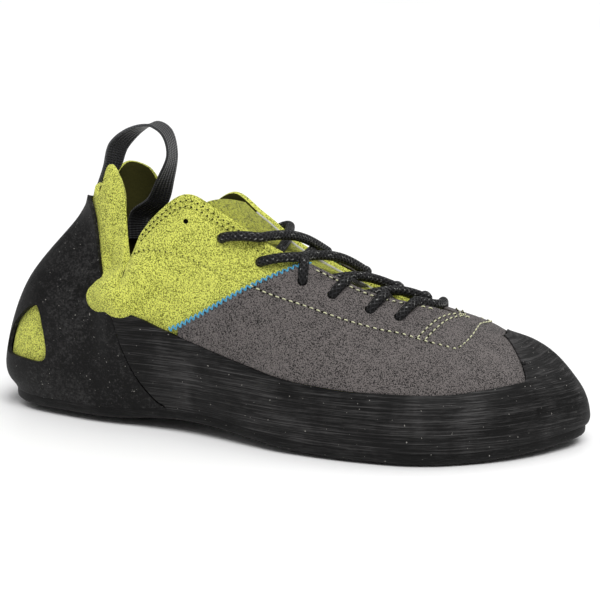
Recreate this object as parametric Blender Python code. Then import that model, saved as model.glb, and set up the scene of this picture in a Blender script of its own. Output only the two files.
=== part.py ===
"""A lace-up climbing shoe for the right foot, standing empty on its sole.

+X points to the toe, +Y to the inner (medial) side of the foot and +Z up. The origin is on the floor, under the
middle of the shoe. The suede upper is one hollow shell on sections of the last. Each section is an upright plane
that starts from the spine of the foot and leaves it towards one side: straight across in the middle of the shoe,
fanned round the heel and round the toe. The rubber rands and the vamp are skins on the same sections.
"""
import math
from collections import namedtuple

import bmesh
import bpy
from mathutils import Matrix, Vector

NAME = "climbing_shoe"

# Driving sizes in metres
LENGTH = 0.262
BALL_WIDTH = 0.098
HEEL_WIDTH = 0.062
COLLAR_HEIGHT = 0.102
INSTEP_HEIGHT = 0.064
ARCH_RISE = 0.0048
TOE_SPRING = 0.0036

# Sheet thicknesses and gaps in metres
UPPER_WALL = 0.0020
RAND_THICKNESS = 0.0018
VAMP_THICKNESS = 0.0010
SKIN_GAP = 0.0007
SEAT_GAP = 0.0003
SOLE_THICKNESS = 0.0045
SOLE_LIP = 0.0006
SOLE_EDGE_BEVEL = 0.0012
INSOLE_THICKNESS = 0.0025
INSOLE_GAP = 0.0006
INSOLE_SIDE_GAP = 0.0014
TONGUE_THICKNESS = 0.0030
TONGUE_GAP = 0.0008

# Laces, eyelets and the webbing loop, in metres
LACE_DIAMETER = 0.0042
LACE_CLEARANCE = 0.0010
EYELET_DIAMETER = 0.0044
WEBBING_WIDTH = 0.0095
WEBBING_THICKNESS = 0.0012

# Steps between sections and up the wall
STEPS_PER_SECTION = 2
WALL_STEPS = 9
MERGE_DISTANCE = 0.00001
# How far along the shoe, in sections, a wall's way out is measured
NORMAL_SPAN = 0.3
# Below this share of its height the wall's thickness is laid level, so that it sits flat on the sole
UPRIGHT_LEVEL = 0.25

Plan = namedtuple("Plan", "name spine_x spine_y lateral_x lateral_y medial_x medial_y edge_lift sole_lift")
Wall = namedtuple("Wall", "name low_out low_high mid_out mid_high neck_out neck_high top_out top_high")

# Where each section starts and meets the feather edge. x is a share of LENGTH from the heel, and y of half the heel
# or ball width. The lifts are shares of ARCH_RISE up to the ball, and of TOE_SPRING in front of it.
PLAN = [
    Plan("heel_back", 0.244, 0.03, 0.031, 0.032, 0.031, 0.032, 0.50, 0.50),
    Plan("heel_round", 0.244, 0.03, 0.046, -0.419, 0.046, 0.484, 0.55, 0.21),
    Plan("heel_side", 0.244, 0.03, 0.092, -0.710, 0.092, 0.774, 0.50, 0.04),
    Plan("heel_seat", 0.244, 0.03, 0.160, -0.839, 0.160, 0.903, 0.54, 0.00),
    Plan("ear_peak", 0.244, 0.03, 0.214, -0.903, 0.214, 0.935, 0.54, 0.00),
    Plan("ear_front", 0.252, 0.03, 0.252, -0.919, 0.252, 0.952, 0.58, 0.00),
    Plan("notch", 0.271, 0.03, 0.271, -0.919, 0.271, 0.952, 0.66, 0.12),
    Plan("quarter_back", 0.290, 0.03, 0.290, -0.919, 0.290, 0.935, 0.78, 0.33),
    Plan("quarter_rise", 0.321, 0.05, 0.321, -0.935, 0.321, 0.903, 0.96, 0.67),
    Plan("quarter_peak", 0.374, 0.06, 0.374, -0.968, 0.374, 0.839, 1.12, 1.00),
    Plan("upper_lace", 0.435, 0.06, 0.435, -1.065, 0.435, 0.806, 1.00, 0.92),
    Plan("instep", 0.504, 0.06, 0.504, -0.776, 0.504, 0.531, 0.70, 0.58),
    Plan("waist", 0.580, 0.08, 0.580, -0.867, 0.580, 0.633, 0.36, 0.21),
    Plan("joint", 0.672, 0.08, 0.672, -0.890, 0.672, 0.837, 0.16, 0.00),
    Plan("throat_front", 0.756, 0.12, 0.756, -0.860, 0.756, 0.898, 0.14, 0.00),
    Plan("toe_joint", 0.817, 0.16, 0.817, -0.755, 0.817, 0.908, 0.16, 0.00),
    Plan("toe_box", 0.847, 0.18, 0.863, -0.592, 0.863, 0.878, 0.17, 0.14),
    Plan("toe_side", 0.863, 0.22, 0.916, -0.327, 0.916, 0.796, 0.42, 0.36),
    Plan("toe_round", 0.863, 0.22, 0.958, 0.000, 0.958, 0.673, 0.72, 0.67),
    Plan("toe_tip", 0.863, 0.22, 0.985, 0.367, 0.985, 0.367, 1.00, 1.00),
]

# The wall at its low bulge, middle, neck and top edge. An out is a share of the distance from the spine to the
# feather edge, and a high is a share of COLLAR_HEIGHT up to upper_lace, and of INSTEP_HEIGHT from instep on.
LATERAL = [
    Wall("heel_back", 1.10, 0.196, 0.90, 0.529, 0.44, 0.833, 0.32, 0.971),
    Wall("heel_round", 1.09, 0.196, 0.91, 0.520, 0.465, 0.824, 0.330, 0.980),
    Wall("heel_side", 1.05, 0.206, 0.91, 0.510, 0.54, 0.784, 0.42, 0.975),
    Wall("heel_seat", 1.06, 0.216, 0.97, 0.490, 0.64, 0.745, 0.58, 0.975),
    Wall("ear_peak", 1.05, 0.216, 1.02, 0.471, 0.75, 0.706, 0.66, 1.088),
    Wall("ear_front", 1.08, 0.216, 1.14, 0.510, 0.88, 0.667, 0.69, 0.980),
    Wall("notch", 1.08, 0.216, 1.17, 0.490, 1.05, 0.588, 0.83, 0.657),
    Wall("quarter_back", 1.08, 0.216, 1.15, 0.471, 1.05, 0.637, 0.85, 0.804),
    Wall("quarter_rise", 1.07, 0.216, 1.11, 0.451, 1.02, 0.686, 0.85, 0.912),
    Wall("quarter_peak", 1.06, 0.216, 1.09, 0.451, 0.97, 0.725, 0.80, 1.000),
    Wall("upper_lace", 1.06, 0.216, 1.04, 0.431, 0.89, 0.686, 0.66, 0.922),
    Wall("instep", 1.04, 0.312, 0.99, 0.625, 0.80, 0.984, 0.54, 1.297),
    Wall("waist", 1.03, 0.312, 0.97, 0.594, 0.75, 0.891, 0.44, 1.156),
    Wall("joint", 1.03, 0.281, 0.96, 0.516, 0.71, 0.781, 0.35, 0.992),
    Wall("throat_front", 1.03, 0.250, 0.93, 0.469, 0.65, 0.703, 0.18, 0.891),
    Wall("toe_joint", 1.03, 0.250, 0.91, 0.453, 0.60, 0.641, 0.00, 0.778),
    Wall("toe_box", 1.03, 0.234, 0.92, 0.422, 0.60, 0.578, 0.00, 0.706),
    Wall("toe_side", 1.04, 0.219, 0.94, 0.383, 0.61, 0.547, 0.00, 0.680),
    Wall("toe_round", 1.04, 0.203, 0.95, 0.352, 0.62, 0.516, 0.00, 0.680),
    Wall("toe_tip", 1.06, 0.188, 0.96, 0.344, 0.60, 0.510, 0.00, 0.680),
]
MEDIAL = [
    Wall("heel_back", 1.10, 0.196, 0.90, 0.529, 0.44, 0.833, 0.32, 0.971),
    Wall("heel_round", 1.09, 0.196, 0.91, 0.520, 0.465, 0.824, 0.330, 0.980),
    Wall("heel_side", 1.05, 0.206, 0.91, 0.510, 0.54, 0.784, 0.42, 1.010),
    Wall("heel_seat", 1.06, 0.216, 0.97, 0.490, 0.64, 0.745, 0.57, 1.045),
    Wall("ear_peak", 1.09, 0.216, 1.05, 0.471, 0.79, 0.706, 0.69, 1.020),
    Wall("ear_front", 1.12, 0.216, 1.16, 0.490, 0.91, 0.686, 0.74, 0.900),
    Wall("notch", 1.12, 0.216, 1.18, 0.471, 1.05, 0.588, 0.86, 0.660),
    Wall("quarter_back", 1.14, 0.216, 1.18, 0.471, 1.07, 0.637, 0.89, 0.740),
    Wall("quarter_rise", 1.17, 0.225, 1.21, 0.451, 1.13, 0.686, 0.98, 0.840),
    Wall("quarter_peak", 1.19, 0.235, 1.25, 0.451, 1.17, 0.725, 1.02, 0.925),
    Wall("upper_lace", 1.17, 0.235, 1.26, 0.451, 1.17, 0.706, 0.87, 0.850),
    Wall("instep", 1.17, 0.375, 1.26, 0.688, 1.13, 1.000, 0.80, 1.165),
    Wall("waist", 1.13, 0.344, 1.15, 0.625, 0.96, 0.910, 0.56, 1.040),
    Wall("joint", 1.05, 0.297, 1.01, 0.562, 0.76, 0.800, 0.27, 0.920),
    Wall("throat_front", 1.07, 0.266, 0.97, 0.500, 0.66, 0.720, 0.11, 0.848),
    Wall("toe_joint", 1.05, 0.250, 0.96, 0.469, 0.66, 0.672, 0.00, 0.778),
    Wall("toe_box", 1.04, 0.234, 0.93, 0.438, 0.61, 0.625, 0.00, 0.706),
    Wall("toe_side", 1.04, 0.219, 0.94, 0.422, 0.62, 0.594, 0.00, 0.680),
    Wall("toe_round", 1.04, 0.203, 0.93, 0.383, 0.60, 0.562, 0.00, 0.680),
    Wall("toe_tip", 1.06, 0.188, 0.96, 0.344, 0.60, 0.510, 0.00, 0.680),
]

LAST_COLLAR_SECTION = "upper_lace"
LAST_ARCH_SECTION = "throat_front"
FIRST_CLOSED_SECTION = "toe_joint"

# Edges of the rubber and the vamp: the place along the shoe, counted in sections from heel_back, and the height as
# a share of COLLAR_HEIGHT. Both sides of the shoe share them.
Edge = namedtuple("Edge", "section high")
HEEL_RAND_TOP = [
    Edge(0, 0.90), Edge(2, 0.93), Edge(2.85, 0.915), Edge(3.3, 0.81), Edge(3.7, 0.70), Edge(4, 0.63), Edge(4.5, 0.57),
    Edge(5, 0.52), Edge(6, 0.35), Edge(7, 0.245), Edge(8, 0.147), Edge(8.5, 0.09),
]
SIDE_RAND_TOP = [
    Edge(5, 0.52), Edge(6, 0.51), Edge(7, 0.495), Edge(8, 0.465), Edge(9, 0.42), Edge(10, 0.377), Edge(11, 0.338),
    Edge(12, 0.304), Edge(13, 0.284), Edge(14, 0.279), Edge(15, 0.275), Edge(16, 0.28), Edge(17, 0.29),
]
VAMP_TOP = [Edge(8.75, 0.44), Edge(9.75, 0.53), Edge(10.9, 0.655), Edge(12, 0.75)]
SEAM_RISE = 0.010
HEEL_RAND_END = 8.5
SIDE_RAND_START = 5.5
VAMP_START = 9
VAMP_FULL = 12

# The toe cap starts along one section line on the outer side, above a level that is a step of the wall, and its rear
# edge comes down over the inner side: the section, and the level there
CAP_START = 17.6
CAP_CORNER_LEVEL = 6 / WALL_STEPS
MEDIAL_CAP = [Edge(14, 0), Edge(15, 0.5), Edge(15.5, 0.7), Edge(16, 0.86), Edge(16.5, 0.93), Edge(17, 1)]
CAP_SECTIONS = [14.25, 14.75, 15.25, 15.75, 16.25, 16.75, 17.25, 17.45, 17.6]
LATERAL_VAMP_END = 17.45
MEDIAL_VAMP_END = 15.5

# The window on each side of the heel: its corners in sections and shares of COLLAR_HEIGHT
WINDOW = [Edge(1.9, 0.465), Edge(2.5, 0.36), Edge(2.65, 0.215), Edge(1.7, 0.205), Edge(0.95, 0.22), Edge(1.15, 0.36)]

# Eyelets from the toe back, in sections; the last pair stays empty
LATERAL_EYELETS = [13.6, 13.1, 12.45, 11.9, 10.95, 10.0, 9.0]
MEDIAL_EYELETS = [13.93, 13.4, 12.8, 12.2, 11.3, 10.25, 9.2]
EYELET_LEVEL = 0.90
EMPTY_PAIRS = 1

TONGUE_START = 9.5
TONGUE_END = 14.5
TONGUE_TUCK = [0.80, 0.90, 1.0]
TONGUE_BRIDGE_STEPS = 4

LACE_EDGE_LEAN = 0.15
LACE_BRIDGE_STEPS = 5
BRIDGE_LIFT = 0.6
EYELET_SIDES = 8

# The webbing loop between its seat behind the heel and its seat inside the inner ear. x is a share of LENGTH, y of
# half HEEL_WIDTH and z of COLLAR_HEIGHT; turn is the way that the width faces, in degrees from +X.
Fold = namedtuple("Fold", "x y z turn")
LOOP_FOLDS = [
    Fold(0.188, 0.06, 1.05, 62), Fold(0.200, 0.10, 1.14, 50), Fold(0.228, 0.16, 1.21, 62),
    Fold(0.259, 0.25, 1.235, 80), Fold(0.282, 0.32, 1.19, 88), Fold(0.287, 0.38, 1.09, 88),
    Fold(0.270, 0.42, 0.97, 60), Fold(0.250, 0.46, 0.87, 30),
]
LOOP_SEAT = [0.925, 0.965]
LOOP_TUCK_SECTION = 3.5
LOOP_TUCK = [0.82, 0.74]
LOOP_TUCK_GAP = 0.0020


def smooth(before, start, end, after, share):
    """A curve from start to end that never overshoots, by the slopes of the steps on both sides."""
    steps = (start - before, end - start, after - end)
    slopes = []
    for one, other in zip(steps, steps[1:]):
        slopes.append(2 * one * other / (one + other) if one * other > 0 else 0)
    square, cube = share * share, share ** 3
    hold = 2 * cube - 3 * square
    return (hold + 1) * start - hold * end + (cube - 2 * square + share) * slopes[0] + (cube - square) * slopes[1]


def build_rows():
    """The sections in metres, from heel_back along the outer side to the toe and back along the inner side."""
    names = [plan.name for plan in PLAN]
    rows = {"lateral": [], "medial": []}
    for index, plan in enumerate(PLAN):
        half = HEEL_WIDTH / 2 if index <= names.index(LAST_COLLAR_SECTION) else BALL_WIDTH / 2
        height = COLLAR_HEIGHT if index <= names.index(LAST_COLLAR_SECTION) else INSTEP_HEIGHT
        lift = ARCH_RISE if index <= names.index(LAST_ARCH_SECTION) else TOE_SPRING
        for side, wall in (("lateral", LATERAL[index]), ("medial", MEDIAL[index])):
            foot_x = getattr(plan, side + "_x") * LENGTH
            foot_y = getattr(plan, side + "_y") * half
            row = {"spine_x": plan.spine_x * LENGTH, "spine_y": plan.spine_y * half}
            row.update(foot_x=foot_x, foot_y=foot_y)
            row.update(edge_lift=plan.edge_lift * lift, sole_lift=plan.sole_lift * lift)
            for part in ("low", "mid", "neck", "top"):
                row[part + "_out"] = getattr(wall, part + "_out")
                row[part + "_high"] = getattr(wall, part + "_high") * height
            rows[side].append(row)
    return rows["lateral"] + rows["medial"][-2:0:-1]


ROWS = build_rows()
TIP = len(PLAN) - 1
CLOSED = [plan.name for plan in PLAN].index(FIRST_CLOSED_SECTION)


def row_value(key, place):
    """One value of the sections at a place round the shoe: 0 is the heel, TIP the toe and 2 * TIP the heel again."""
    step = math.floor(place)
    four = [ROWS[(step + shift) % len(ROWS)][key] for shift in (-1, 0, 1, 2)]
    return smooth(*four, place - step)


def ring_place(side, section):
    """The place round the shoe of a section on one side."""
    return section if side == "lateral" else 2 * TIP - section


def section_of(place):
    """The section that a place round the shoe lies in, the same on both sides."""
    place %= 2 * TIP
    return min(place, 2 * TIP - place)


def closedness(place):
    """1 where the wall meets the other side at the ridge, 0 where it ends at an open edge."""
    ridge_reach = row_value("top_out", place)
    return max(0.0, 1 - ridge_reach / 0.25)


def wall_curve(place, level):
    """Distance from the spine and height, at a level from 0 at the feather edge to 1 at the top edge or ridge."""
    spine = Vector((row_value("spine_x", place), row_value("spine_y", place)))
    foot = Vector((row_value("foot_x", place), row_value("foot_y", place)))
    reach = (foot - spine).length
    stops = [Vector((reach, SOLE_THICKNESS + SEAT_GAP + row_value("edge_lift", place)))]
    for part in ("low", "mid", "neck", "top"):
        stops.append(Vector((row_value(part + "_out", place) * reach, row_value(part + "_high", place))))
    if section_of(place) >= CLOSED:
        stops[-1].y = (stops[-1].y + row_value("top_high", 2 * TIP - place)) / 2
    open_end = 2 * stops[-1] - stops[-2]
    over_ridge = Vector((-stops[-2].x, stops[-2].y))
    after = open_end.lerp(over_ridge, closedness(place))
    stops = [2 * stops[0] - stops[1]] + stops + [after]
    along = min(level, 1) * 4
    step = min(int(along), 3)
    share = along - step
    p0, p1, p2, p3 = stops[step:step + 4]
    bend = 2 * p1 + (p2 - p0) * share
    bend += (2 * p0 - 5 * p1 + 4 * p2 - p3) * share ** 2
    bend += (3 * p1 - p0 - 3 * p2 + p3) * share ** 3
    return bend / 2, spine, (foot - spine).normalized()


def wall_point(place, level):
    """A point of the upper's outer face."""
    curve, spine, way = wall_curve(place, level)
    flat = spine + way * curve.x
    return Vector((flat.x, flat.y, curve.y))


def ridge_normal(place):
    """The way up from the closed ridge over the toes."""
    section = min(section_of(place), TIP - 2.5)
    run = wall_point(section + 0.5, 1) - wall_point(section - 0.5, 1)
    flat = math.hypot(run.x, run.y)
    return Vector((-run.z * run.x / flat, -run.z * run.y / flat, flat)).normalized()


def wall_normal(place, level):
    """The way out from the upper's outer face."""
    below = max(0.0, min(level, 0.97) - 0.02)
    along = wall_point(place + NORMAL_SPAN, below + 0.02) - wall_point(place - NORMAL_SPAN, below + 0.02)
    up = wall_point(place, below + 0.04) - wall_point(place, below)
    out = along.cross(up).normalized()
    out.z *= min(1, level / UPRIGHT_LEVEL)
    out.normalize()
    near_ridge = max(0.0, (level - 0.8) / 0.2) ** 2 * closedness(place)
    return out.lerp(ridge_normal(place), near_ridge).normalized() if near_ridge else out


def skin_point(place, level, offset):
    """A point at a distance outside the upper's outer face. On the closed ridge both sides give the same point."""
    place %= 2 * TIP
    if level >= 1 and section_of(place) >= CLOSED:
        place = section_of(place)
    return wall_point(place, level) + wall_normal(place, level) * offset


def level_at(place, height):
    """The level at which the wall reaches a height."""
    low, high = 0.0, 1.0
    for _ in range(24):
        middle = (low + high) / 2
        if wall_point(place, middle).z < height:
            low = middle
        else:
            high = middle
    return (low + high) / 2


def along_edge(edges, section):
    """The height of a table of edges at a section."""
    if section <= edges[0].section:
        return edges[0].high
    for one, other in zip(edges, edges[1:]):
        if section <= other.section:
            share = (section - one.section) / (other.section - one.section)
            return one.high + (other.high - one.high) * share
    return edges[-1].high


def thick_sheet(name, patches, collection, material):
    """One closed solid between pairs of grids, outer and inner. Points that meet in the outer grids are one corner.

    Every cell is split along the same diagonal, so that sheets one over another keep their gap.
    """
    corners, ids, count = [], {}, {}
    faces = []
    for outer, inner in patches:
        grid = []
        for outer_row, inner_row in zip(outer, inner):
            line = []
            for point, partner in zip(outer_row, inner_row):
                key = tuple(round(value / MERGE_DISTANCE) for value in point)
                if key not in ids:
                    ids[key] = len(corners)
                    corners.append((point, partner))
                line.append(ids[key])
            grid.append(line)
        for row, after in zip(grid, grid[1:]):
            for step in range(len(row) - 1):
                face = [row[step], after[step], after[step + 1], row[step + 1]]
                face = [corner for index, corner in enumerate(face) if corner != face[index - 1]]
                for third in range(2, len(face)):
                    if len({face[0], face[third - 1], face[third]}) == 3:
                        faces.append([face[0], face[third - 1], face[third]])
    shape = bmesh.new()
    tops = [shape.verts.new(point) for point, partner in corners]
    bottoms = [shape.verts.new(partner) for point, partner in corners]
    for face in faces:
        shape.faces.new([tops[corner] for corner in face])
        shape.faces.new([bottoms[corner] for corner in reversed(face)])
        for pair in zip(face, face[1:] + face[:1]):
            count[pair] = count.get(pair, 0) + 1
    for one, other in count:
        if (other, one) not in count:
            shape.faces.new([tops[other], tops[one], bottoms[one], bottoms[other]])
    loose = [corner for corner in shape.verts if not corner.link_faces]
    bmesh.ops.delete(shape, geom=loose, context="VERTS")
    bmesh.ops.recalc_face_normals(shape, faces=shape.faces)
    return finish_mesh(name, shape, collection, material)


def finish_mesh(name, shape, collection, material):
    """An object from a bmesh, smooth with sharp rims."""
    mesh = bpy.data.meshes.new(name)
    shape.to_mesh(mesh)
    shape.free()
    mesh.shade_smooth()
    mesh.set_sharp_from_angle(angle=math.radians(40))
    made = bpy.data.objects.new(name, mesh)
    collection.objects.link(made)
    if material:
        mesh.materials.append(material)
    return made


def make_material(name, colour, roughness):
    """A plain finish."""
    material = bpy.data.materials.new(name)
    material.use_nodes = True
    shader = material.node_tree.nodes["Principled BSDF"]
    shader.inputs["Base Color"].default_value = (*colour, 1)
    shader.inputs["Roughness"].default_value = roughness
    shader.inputs["Metallic"].default_value = 0
    return material


def skin(name, runs, thickness, collection, material):
    """A sheet over the upper. Each run is its places, and the functions that give its lower and upper level there."""
    levels = [step / WALL_STEPS for step in range(WALL_STEPS + 1)]
    patches = []
    for places, low, high in runs:
        outer, inner = [], []
        for place in places:
            floor = low(place)
            ceiling = max(high(place), floor)
            held = [min(max(level, floor), ceiling) for level in levels]
            outer.append([skin_point(place, level, SKIN_GAP + thickness) for level in held])
            inner.append([skin_point(place, level, SKIN_GAP) for level in held])
        patches.append((outer, inner))
    return thick_sheet(name, patches, collection, material)


def places_between(start, end):
    """The section lines from start to end, with both ends and the closer lines by the toe cap."""
    first = math.ceil(start * STEPS_PER_SECTION + 0.01)
    last = math.floor(end * STEPS_PER_SECTION - 0.01)
    middle = [step / STEPS_PER_SECTION for step in range(first, last + 1)]
    extra = [place for place in cap_places() if start < place < end]
    return sorted([start] + middle + extra + [end])


def cap_places():
    """The closer section lines by the toe cap's edge, on both sides."""
    return CAP_SECTIONS + [2 * TIP - section for section in CAP_SECTIONS]


def make_upper(collection, material):
    """The hollow suede shell, closed over the toes and open at the throat, collar and sole."""
    places = places_between(0, 2 * TIP)
    levels = [step / WALL_STEPS for step in range(WALL_STEPS + 1)]
    outer = [[skin_point(place, level, 0) for level in levels] for place in places]
    inner = [[skin_point(place, level, -UPPER_WALL) for level in levels] for place in places]
    return thick_sheet("upper", [(outer, inner)], collection, material)


def heel_rand_top(place):
    return level_at(place, along_edge(HEEL_RAND_TOP, section_of(place)) * COLLAR_HEIGHT)


def band_top(place):
    """The top edge of the rubber band along the side of the foot, up to the corner of the toe cap."""
    if section_of(place) >= CAP_START:
        return CAP_CORNER_LEVEL
    return level_at(place, along_edge(SIDE_RAND_TOP, section_of(place)) * COLLAR_HEIGHT)


def cap_top(place):
    """The top edge of the toe cap, and of the band where the cap runs down into it on the inner side."""
    if place <= TIP:
        return 1
    return max(band_top(place), along_edge(MEDIAL_CAP, section_of(place)))


def side_rand_foot(place):
    """The lower edge of the side rand, on the heel rand's front seam and then on the sole."""
    section = section_of(place)
    if section >= HEEL_RAND_END:
        return 0
    return level_at(place, (along_edge(HEEL_RAND_TOP, section) + SEAM_RISE) * COLLAR_HEIGHT)


def vamp_foot(place):
    rand_top = band_top if place <= TIP else cap_top
    height = wall_point(place, rand_top(place)).z + SEAM_RISE / 2 * COLLAR_HEIGHT
    return level_at(place, height)


def vamp_top(place):
    section = section_of(place)
    if section >= VAMP_FULL:
        return 1
    return level_at(place, along_edge(VAMP_TOP, section) * COLLAR_HEIGHT)


def make_heel_rand(collection, cutters, material):
    """The rubber round the heel, with a rounded three-cornered window on each side."""
    end = ring_place("lateral", HEEL_RAND_END)
    places = places_between(-end, end)
    rand = skin("heel_rand", [(places, lambda place: 0, heel_rand_top)], RAND_THICKNESS, collection, material)
    for side in ("lateral", "medial"):
        corners = [(ring_place(side, edge.section), edge.high * COLLAR_HEIGHT) for edge in WINDOW]
        cut(rand, prism(side + "_window_cutter", corners, cutters))
    return rand


def prism(name, corners, cutters):
    """A cutter through a skin at a ring of places and heights."""
    shape = bmesh.new()
    near, far = [], []
    for place, high in corners:
        level = level_at(place, high)
        near.append(shape.verts.new(skin_point(place, level, -RAND_THICKNESS)))
        far.append(shape.verts.new(skin_point(place, level, 4 * RAND_THICKNESS)))
    for index in range(len(corners)):
        after = (index + 1) % len(corners)
        shape.faces.new([near[index], near[after], far[after], far[index]])
    shape.faces.new(near[::-1])
    shape.faces.new(far)
    bmesh.ops.recalc_face_normals(shape, faces=shape.faces)
    return hide_cutter(finish_mesh(name, shape, cutters, None))


def hide_cutter(cutter):
    cutter.hide_render = True
    cutter.display_type = "WIRE"
    return cutter


def cut(part, cutter):
    tool = part.modifiers.new(cutter.name, "BOOLEAN")
    tool.operation = "DIFFERENCE"
    tool.object = cutter


def make_side_rand(collection, material):
    """The rubber band round the sides and over the toes."""
    start = ring_place("lateral", SIDE_RAND_START)
    band = (places_between(start, CAP_START), side_rand_foot, band_top)
    cap = (places_between(CAP_START, 2 * TIP - start), side_rand_foot, cap_top)
    return skin("side_rand", [band, cap], RAND_THICKNESS, collection, material)


def make_vamp(collection, material):
    """The grey suede panel over the forefoot, ahead of the seam with the quarters."""
    lateral = places_between(VAMP_START, LATERAL_VAMP_END)
    medial = places_between(2 * TIP - MEDIAL_VAMP_END, 2 * TIP - VAMP_START)
    runs = [(lateral, vamp_foot, vamp_top), (medial, vamp_foot, vamp_top)]
    return skin("vamp", runs, VAMP_THICKNESS, collection, material)


def chord_point(section, share, margin, height):
    """A point over the sole, between the two feather edges moved out by a margin.

    The sole's top is flat in the middle and rises to each edge; height is added to it.
    """
    feet, ends = [], []
    for side in ("lateral", "medial"):
        place = ring_place(side, section)
        spine = Vector((row_value("spine_x", place), row_value("spine_y", place)))
        foot = Vector((row_value("foot_x", place), row_value("foot_y", place)))
        feet.append(foot)
        ends.append(foot + (foot - spine).normalized() * margin)
    half = max((feet[1] - feet[0]).length / 2, SOLE_THICKNESS)
    across = min(1, abs(2 * share - 1) * (half + margin) / half)
    edge = max(0.0, (across - FLAT_SHARE) / (1 - FLAT_SHARE)) ** 2
    middle_lift, edge_lift = row_value("sole_lift", section), row_value("edge_lift", section)
    flat = ends[0].lerp(ends[1], share)
    return Vector((flat.x, flat.y, SOLE_THICKNESS + middle_lift + (edge_lift - middle_lift) * edge + height))


SOLE_SHARES = [0, 0.1, 0.25, 0.5, 0.75, 0.9, 1]
INSOLE_SHARES = [0, 0.15, 0.5, 0.85, 1]
FLAT_SHARE = 0.5


def make_plate(name, bottom, top, margins, shares, collection, material):
    """A plate over the whole foot. bottom and top are added to the height of the sole's top face."""
    sections = [step / STEPS_PER_SECTION for step in range(TIP * STEPS_PER_SECTION + 1)]
    upper_face, lower_face = [], []
    for section in sections:
        upper_face.append([chord_point(section, share, margins[1], top) for share in shares])
        lower_face.append([chord_point(section, share, margins[0], bottom) for share in shares])
    return thick_sheet(name, [(upper_face, lower_face)], collection, material)


def make_outsole(collection, material):
    margin = SKIN_GAP + RAND_THICKNESS + SOLE_LIP
    margins = (margin - SOLE_EDGE_BEVEL, margin)
    return make_plate("outsole", -SOLE_THICKNESS, 0, margins, SOLE_SHARES, collection, material)


def make_insole(collection, material):
    margin = -UPPER_WALL - INSOLE_SIDE_GAP
    low = INSOLE_GAP
    return make_plate("insole", low, low + INSOLE_THICKNESS, (margin, margin), INSOLE_SHARES, collection, material)


def tongue_row(section, depth):
    """Points across the tongue: tucked under one side of the throat, arched across it, tucked under the other."""
    sides = []
    for side in ("lateral", "medial"):
        place = ring_place(side, section)
        sides.append([skin_point(place, level, -depth) for level in TONGUE_TUCK])
    left, right = sides
    arch = bridge(left[-2], left[-1], right[-1], right[-2], TONGUE_BRIDGE_STEPS)
    return left + arch[1:-1] + right[::-1]


def make_tongue(collection, material):
    """The padded leaf under the throat."""
    sections = places_between(TONGUE_START, TONGUE_END)
    depth = UPPER_WALL + TONGUE_GAP
    outer = [tongue_row(section, depth) for section in sections]
    inner = [tongue_row(section, depth + TONGUE_THICKNESS) for section in sections]
    return thick_sheet("tongue", [(outer, inner)], collection, material)


def make_eyelet_cutter(cutters):
    """One cutter with a peg through the upper and vamp at each punched eyelet."""
    shape = bmesh.new()
    length = 6 * UPPER_WALL
    for side, eyelets in (("lateral", LATERAL_EYELETS), ("medial", MEDIAL_EYELETS)):
        for section in eyelets:
            place = ring_place(side, section)
            turn = wall_normal(place, EYELET_LEVEL).to_track_quat("Z", "Y").to_matrix().to_4x4()
            spot = Matrix.Translation(wall_point(place, EYELET_LEVEL)) @ turn
            radius = EYELET_DIAMETER / 2
            bmesh.ops.create_cone(shape, cap_ends=True, segments=EYELET_SIDES, radius1=radius, radius2=radius,
                                  depth=length, matrix=spot)
    return hide_cutter(finish_mesh("eyelet_cutter", shape, cutters, None))


def lace_row(start, end):
    """Points of a strand from a lateral eyelet to a medial one, each given by its section."""
    offset = SKIN_GAP + VAMP_THICKNESS + LACE_CLEARANCE + LACE_DIAMETER / 2
    lean = (end - start) * LACE_EDGE_LEAN
    left = [skin_point(start, EYELET_LEVEL, offset), skin_point(start + lean, 1, offset)]
    right = [skin_point(2 * TIP - end, EYELET_LEVEL, offset), skin_point(2 * TIP - end + lean, 1, offset)]
    return [left[0]] + bridge(left[0], left[1], right[1], right[0], LACE_BRIDGE_STEPS) + [right[0]]


def bridge(before, start, end, after, steps):
    """Points from start to end that leave along the line before them and arrive along the line after."""
    points = []
    for step in range(steps + 1):
        share = step / steps
        pull = share * (1 - share) * BRIDGE_LIFT
        lift = (start - before) * (1 - share) + (end - after) * share
        points.append(start.lerp(end, share) + lift * pull)
    return points


def make_strand(name, points, collection, material):
    """A round cord along a line of points, as a closed mesh."""
    curve = bpy.data.curves.new(name, "CURVE")
    curve.dimensions = "3D"
    curve.bevel_depth = LACE_DIAMETER / 2
    curve.bevel_resolution = 1
    curve.use_fill_caps = True
    spline = curve.splines.new("POLY")
    spline.points.add(len(points) - 1)
    for spot, point in zip(spline.points, points):
        spot.co = (*point, 1)
    guide = bpy.data.objects.new(name + "_guide", curve)
    collection.objects.link(guide)
    bpy.context.view_layer.update()
    seen = guide.evaluated_get(bpy.context.evaluated_depsgraph_get())
    shape = bmesh.new()
    shape.from_mesh(bpy.data.meshes.new_from_object(seen))
    bmesh.ops.remove_doubles(shape, verts=shape.verts, dist=MERGE_DISTANCE)
    bmesh.ops.recalc_face_normals(shape, faces=shape.faces)
    bpy.data.objects.remove(guide)
    return finish_mesh(name, shape, collection, material)


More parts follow.
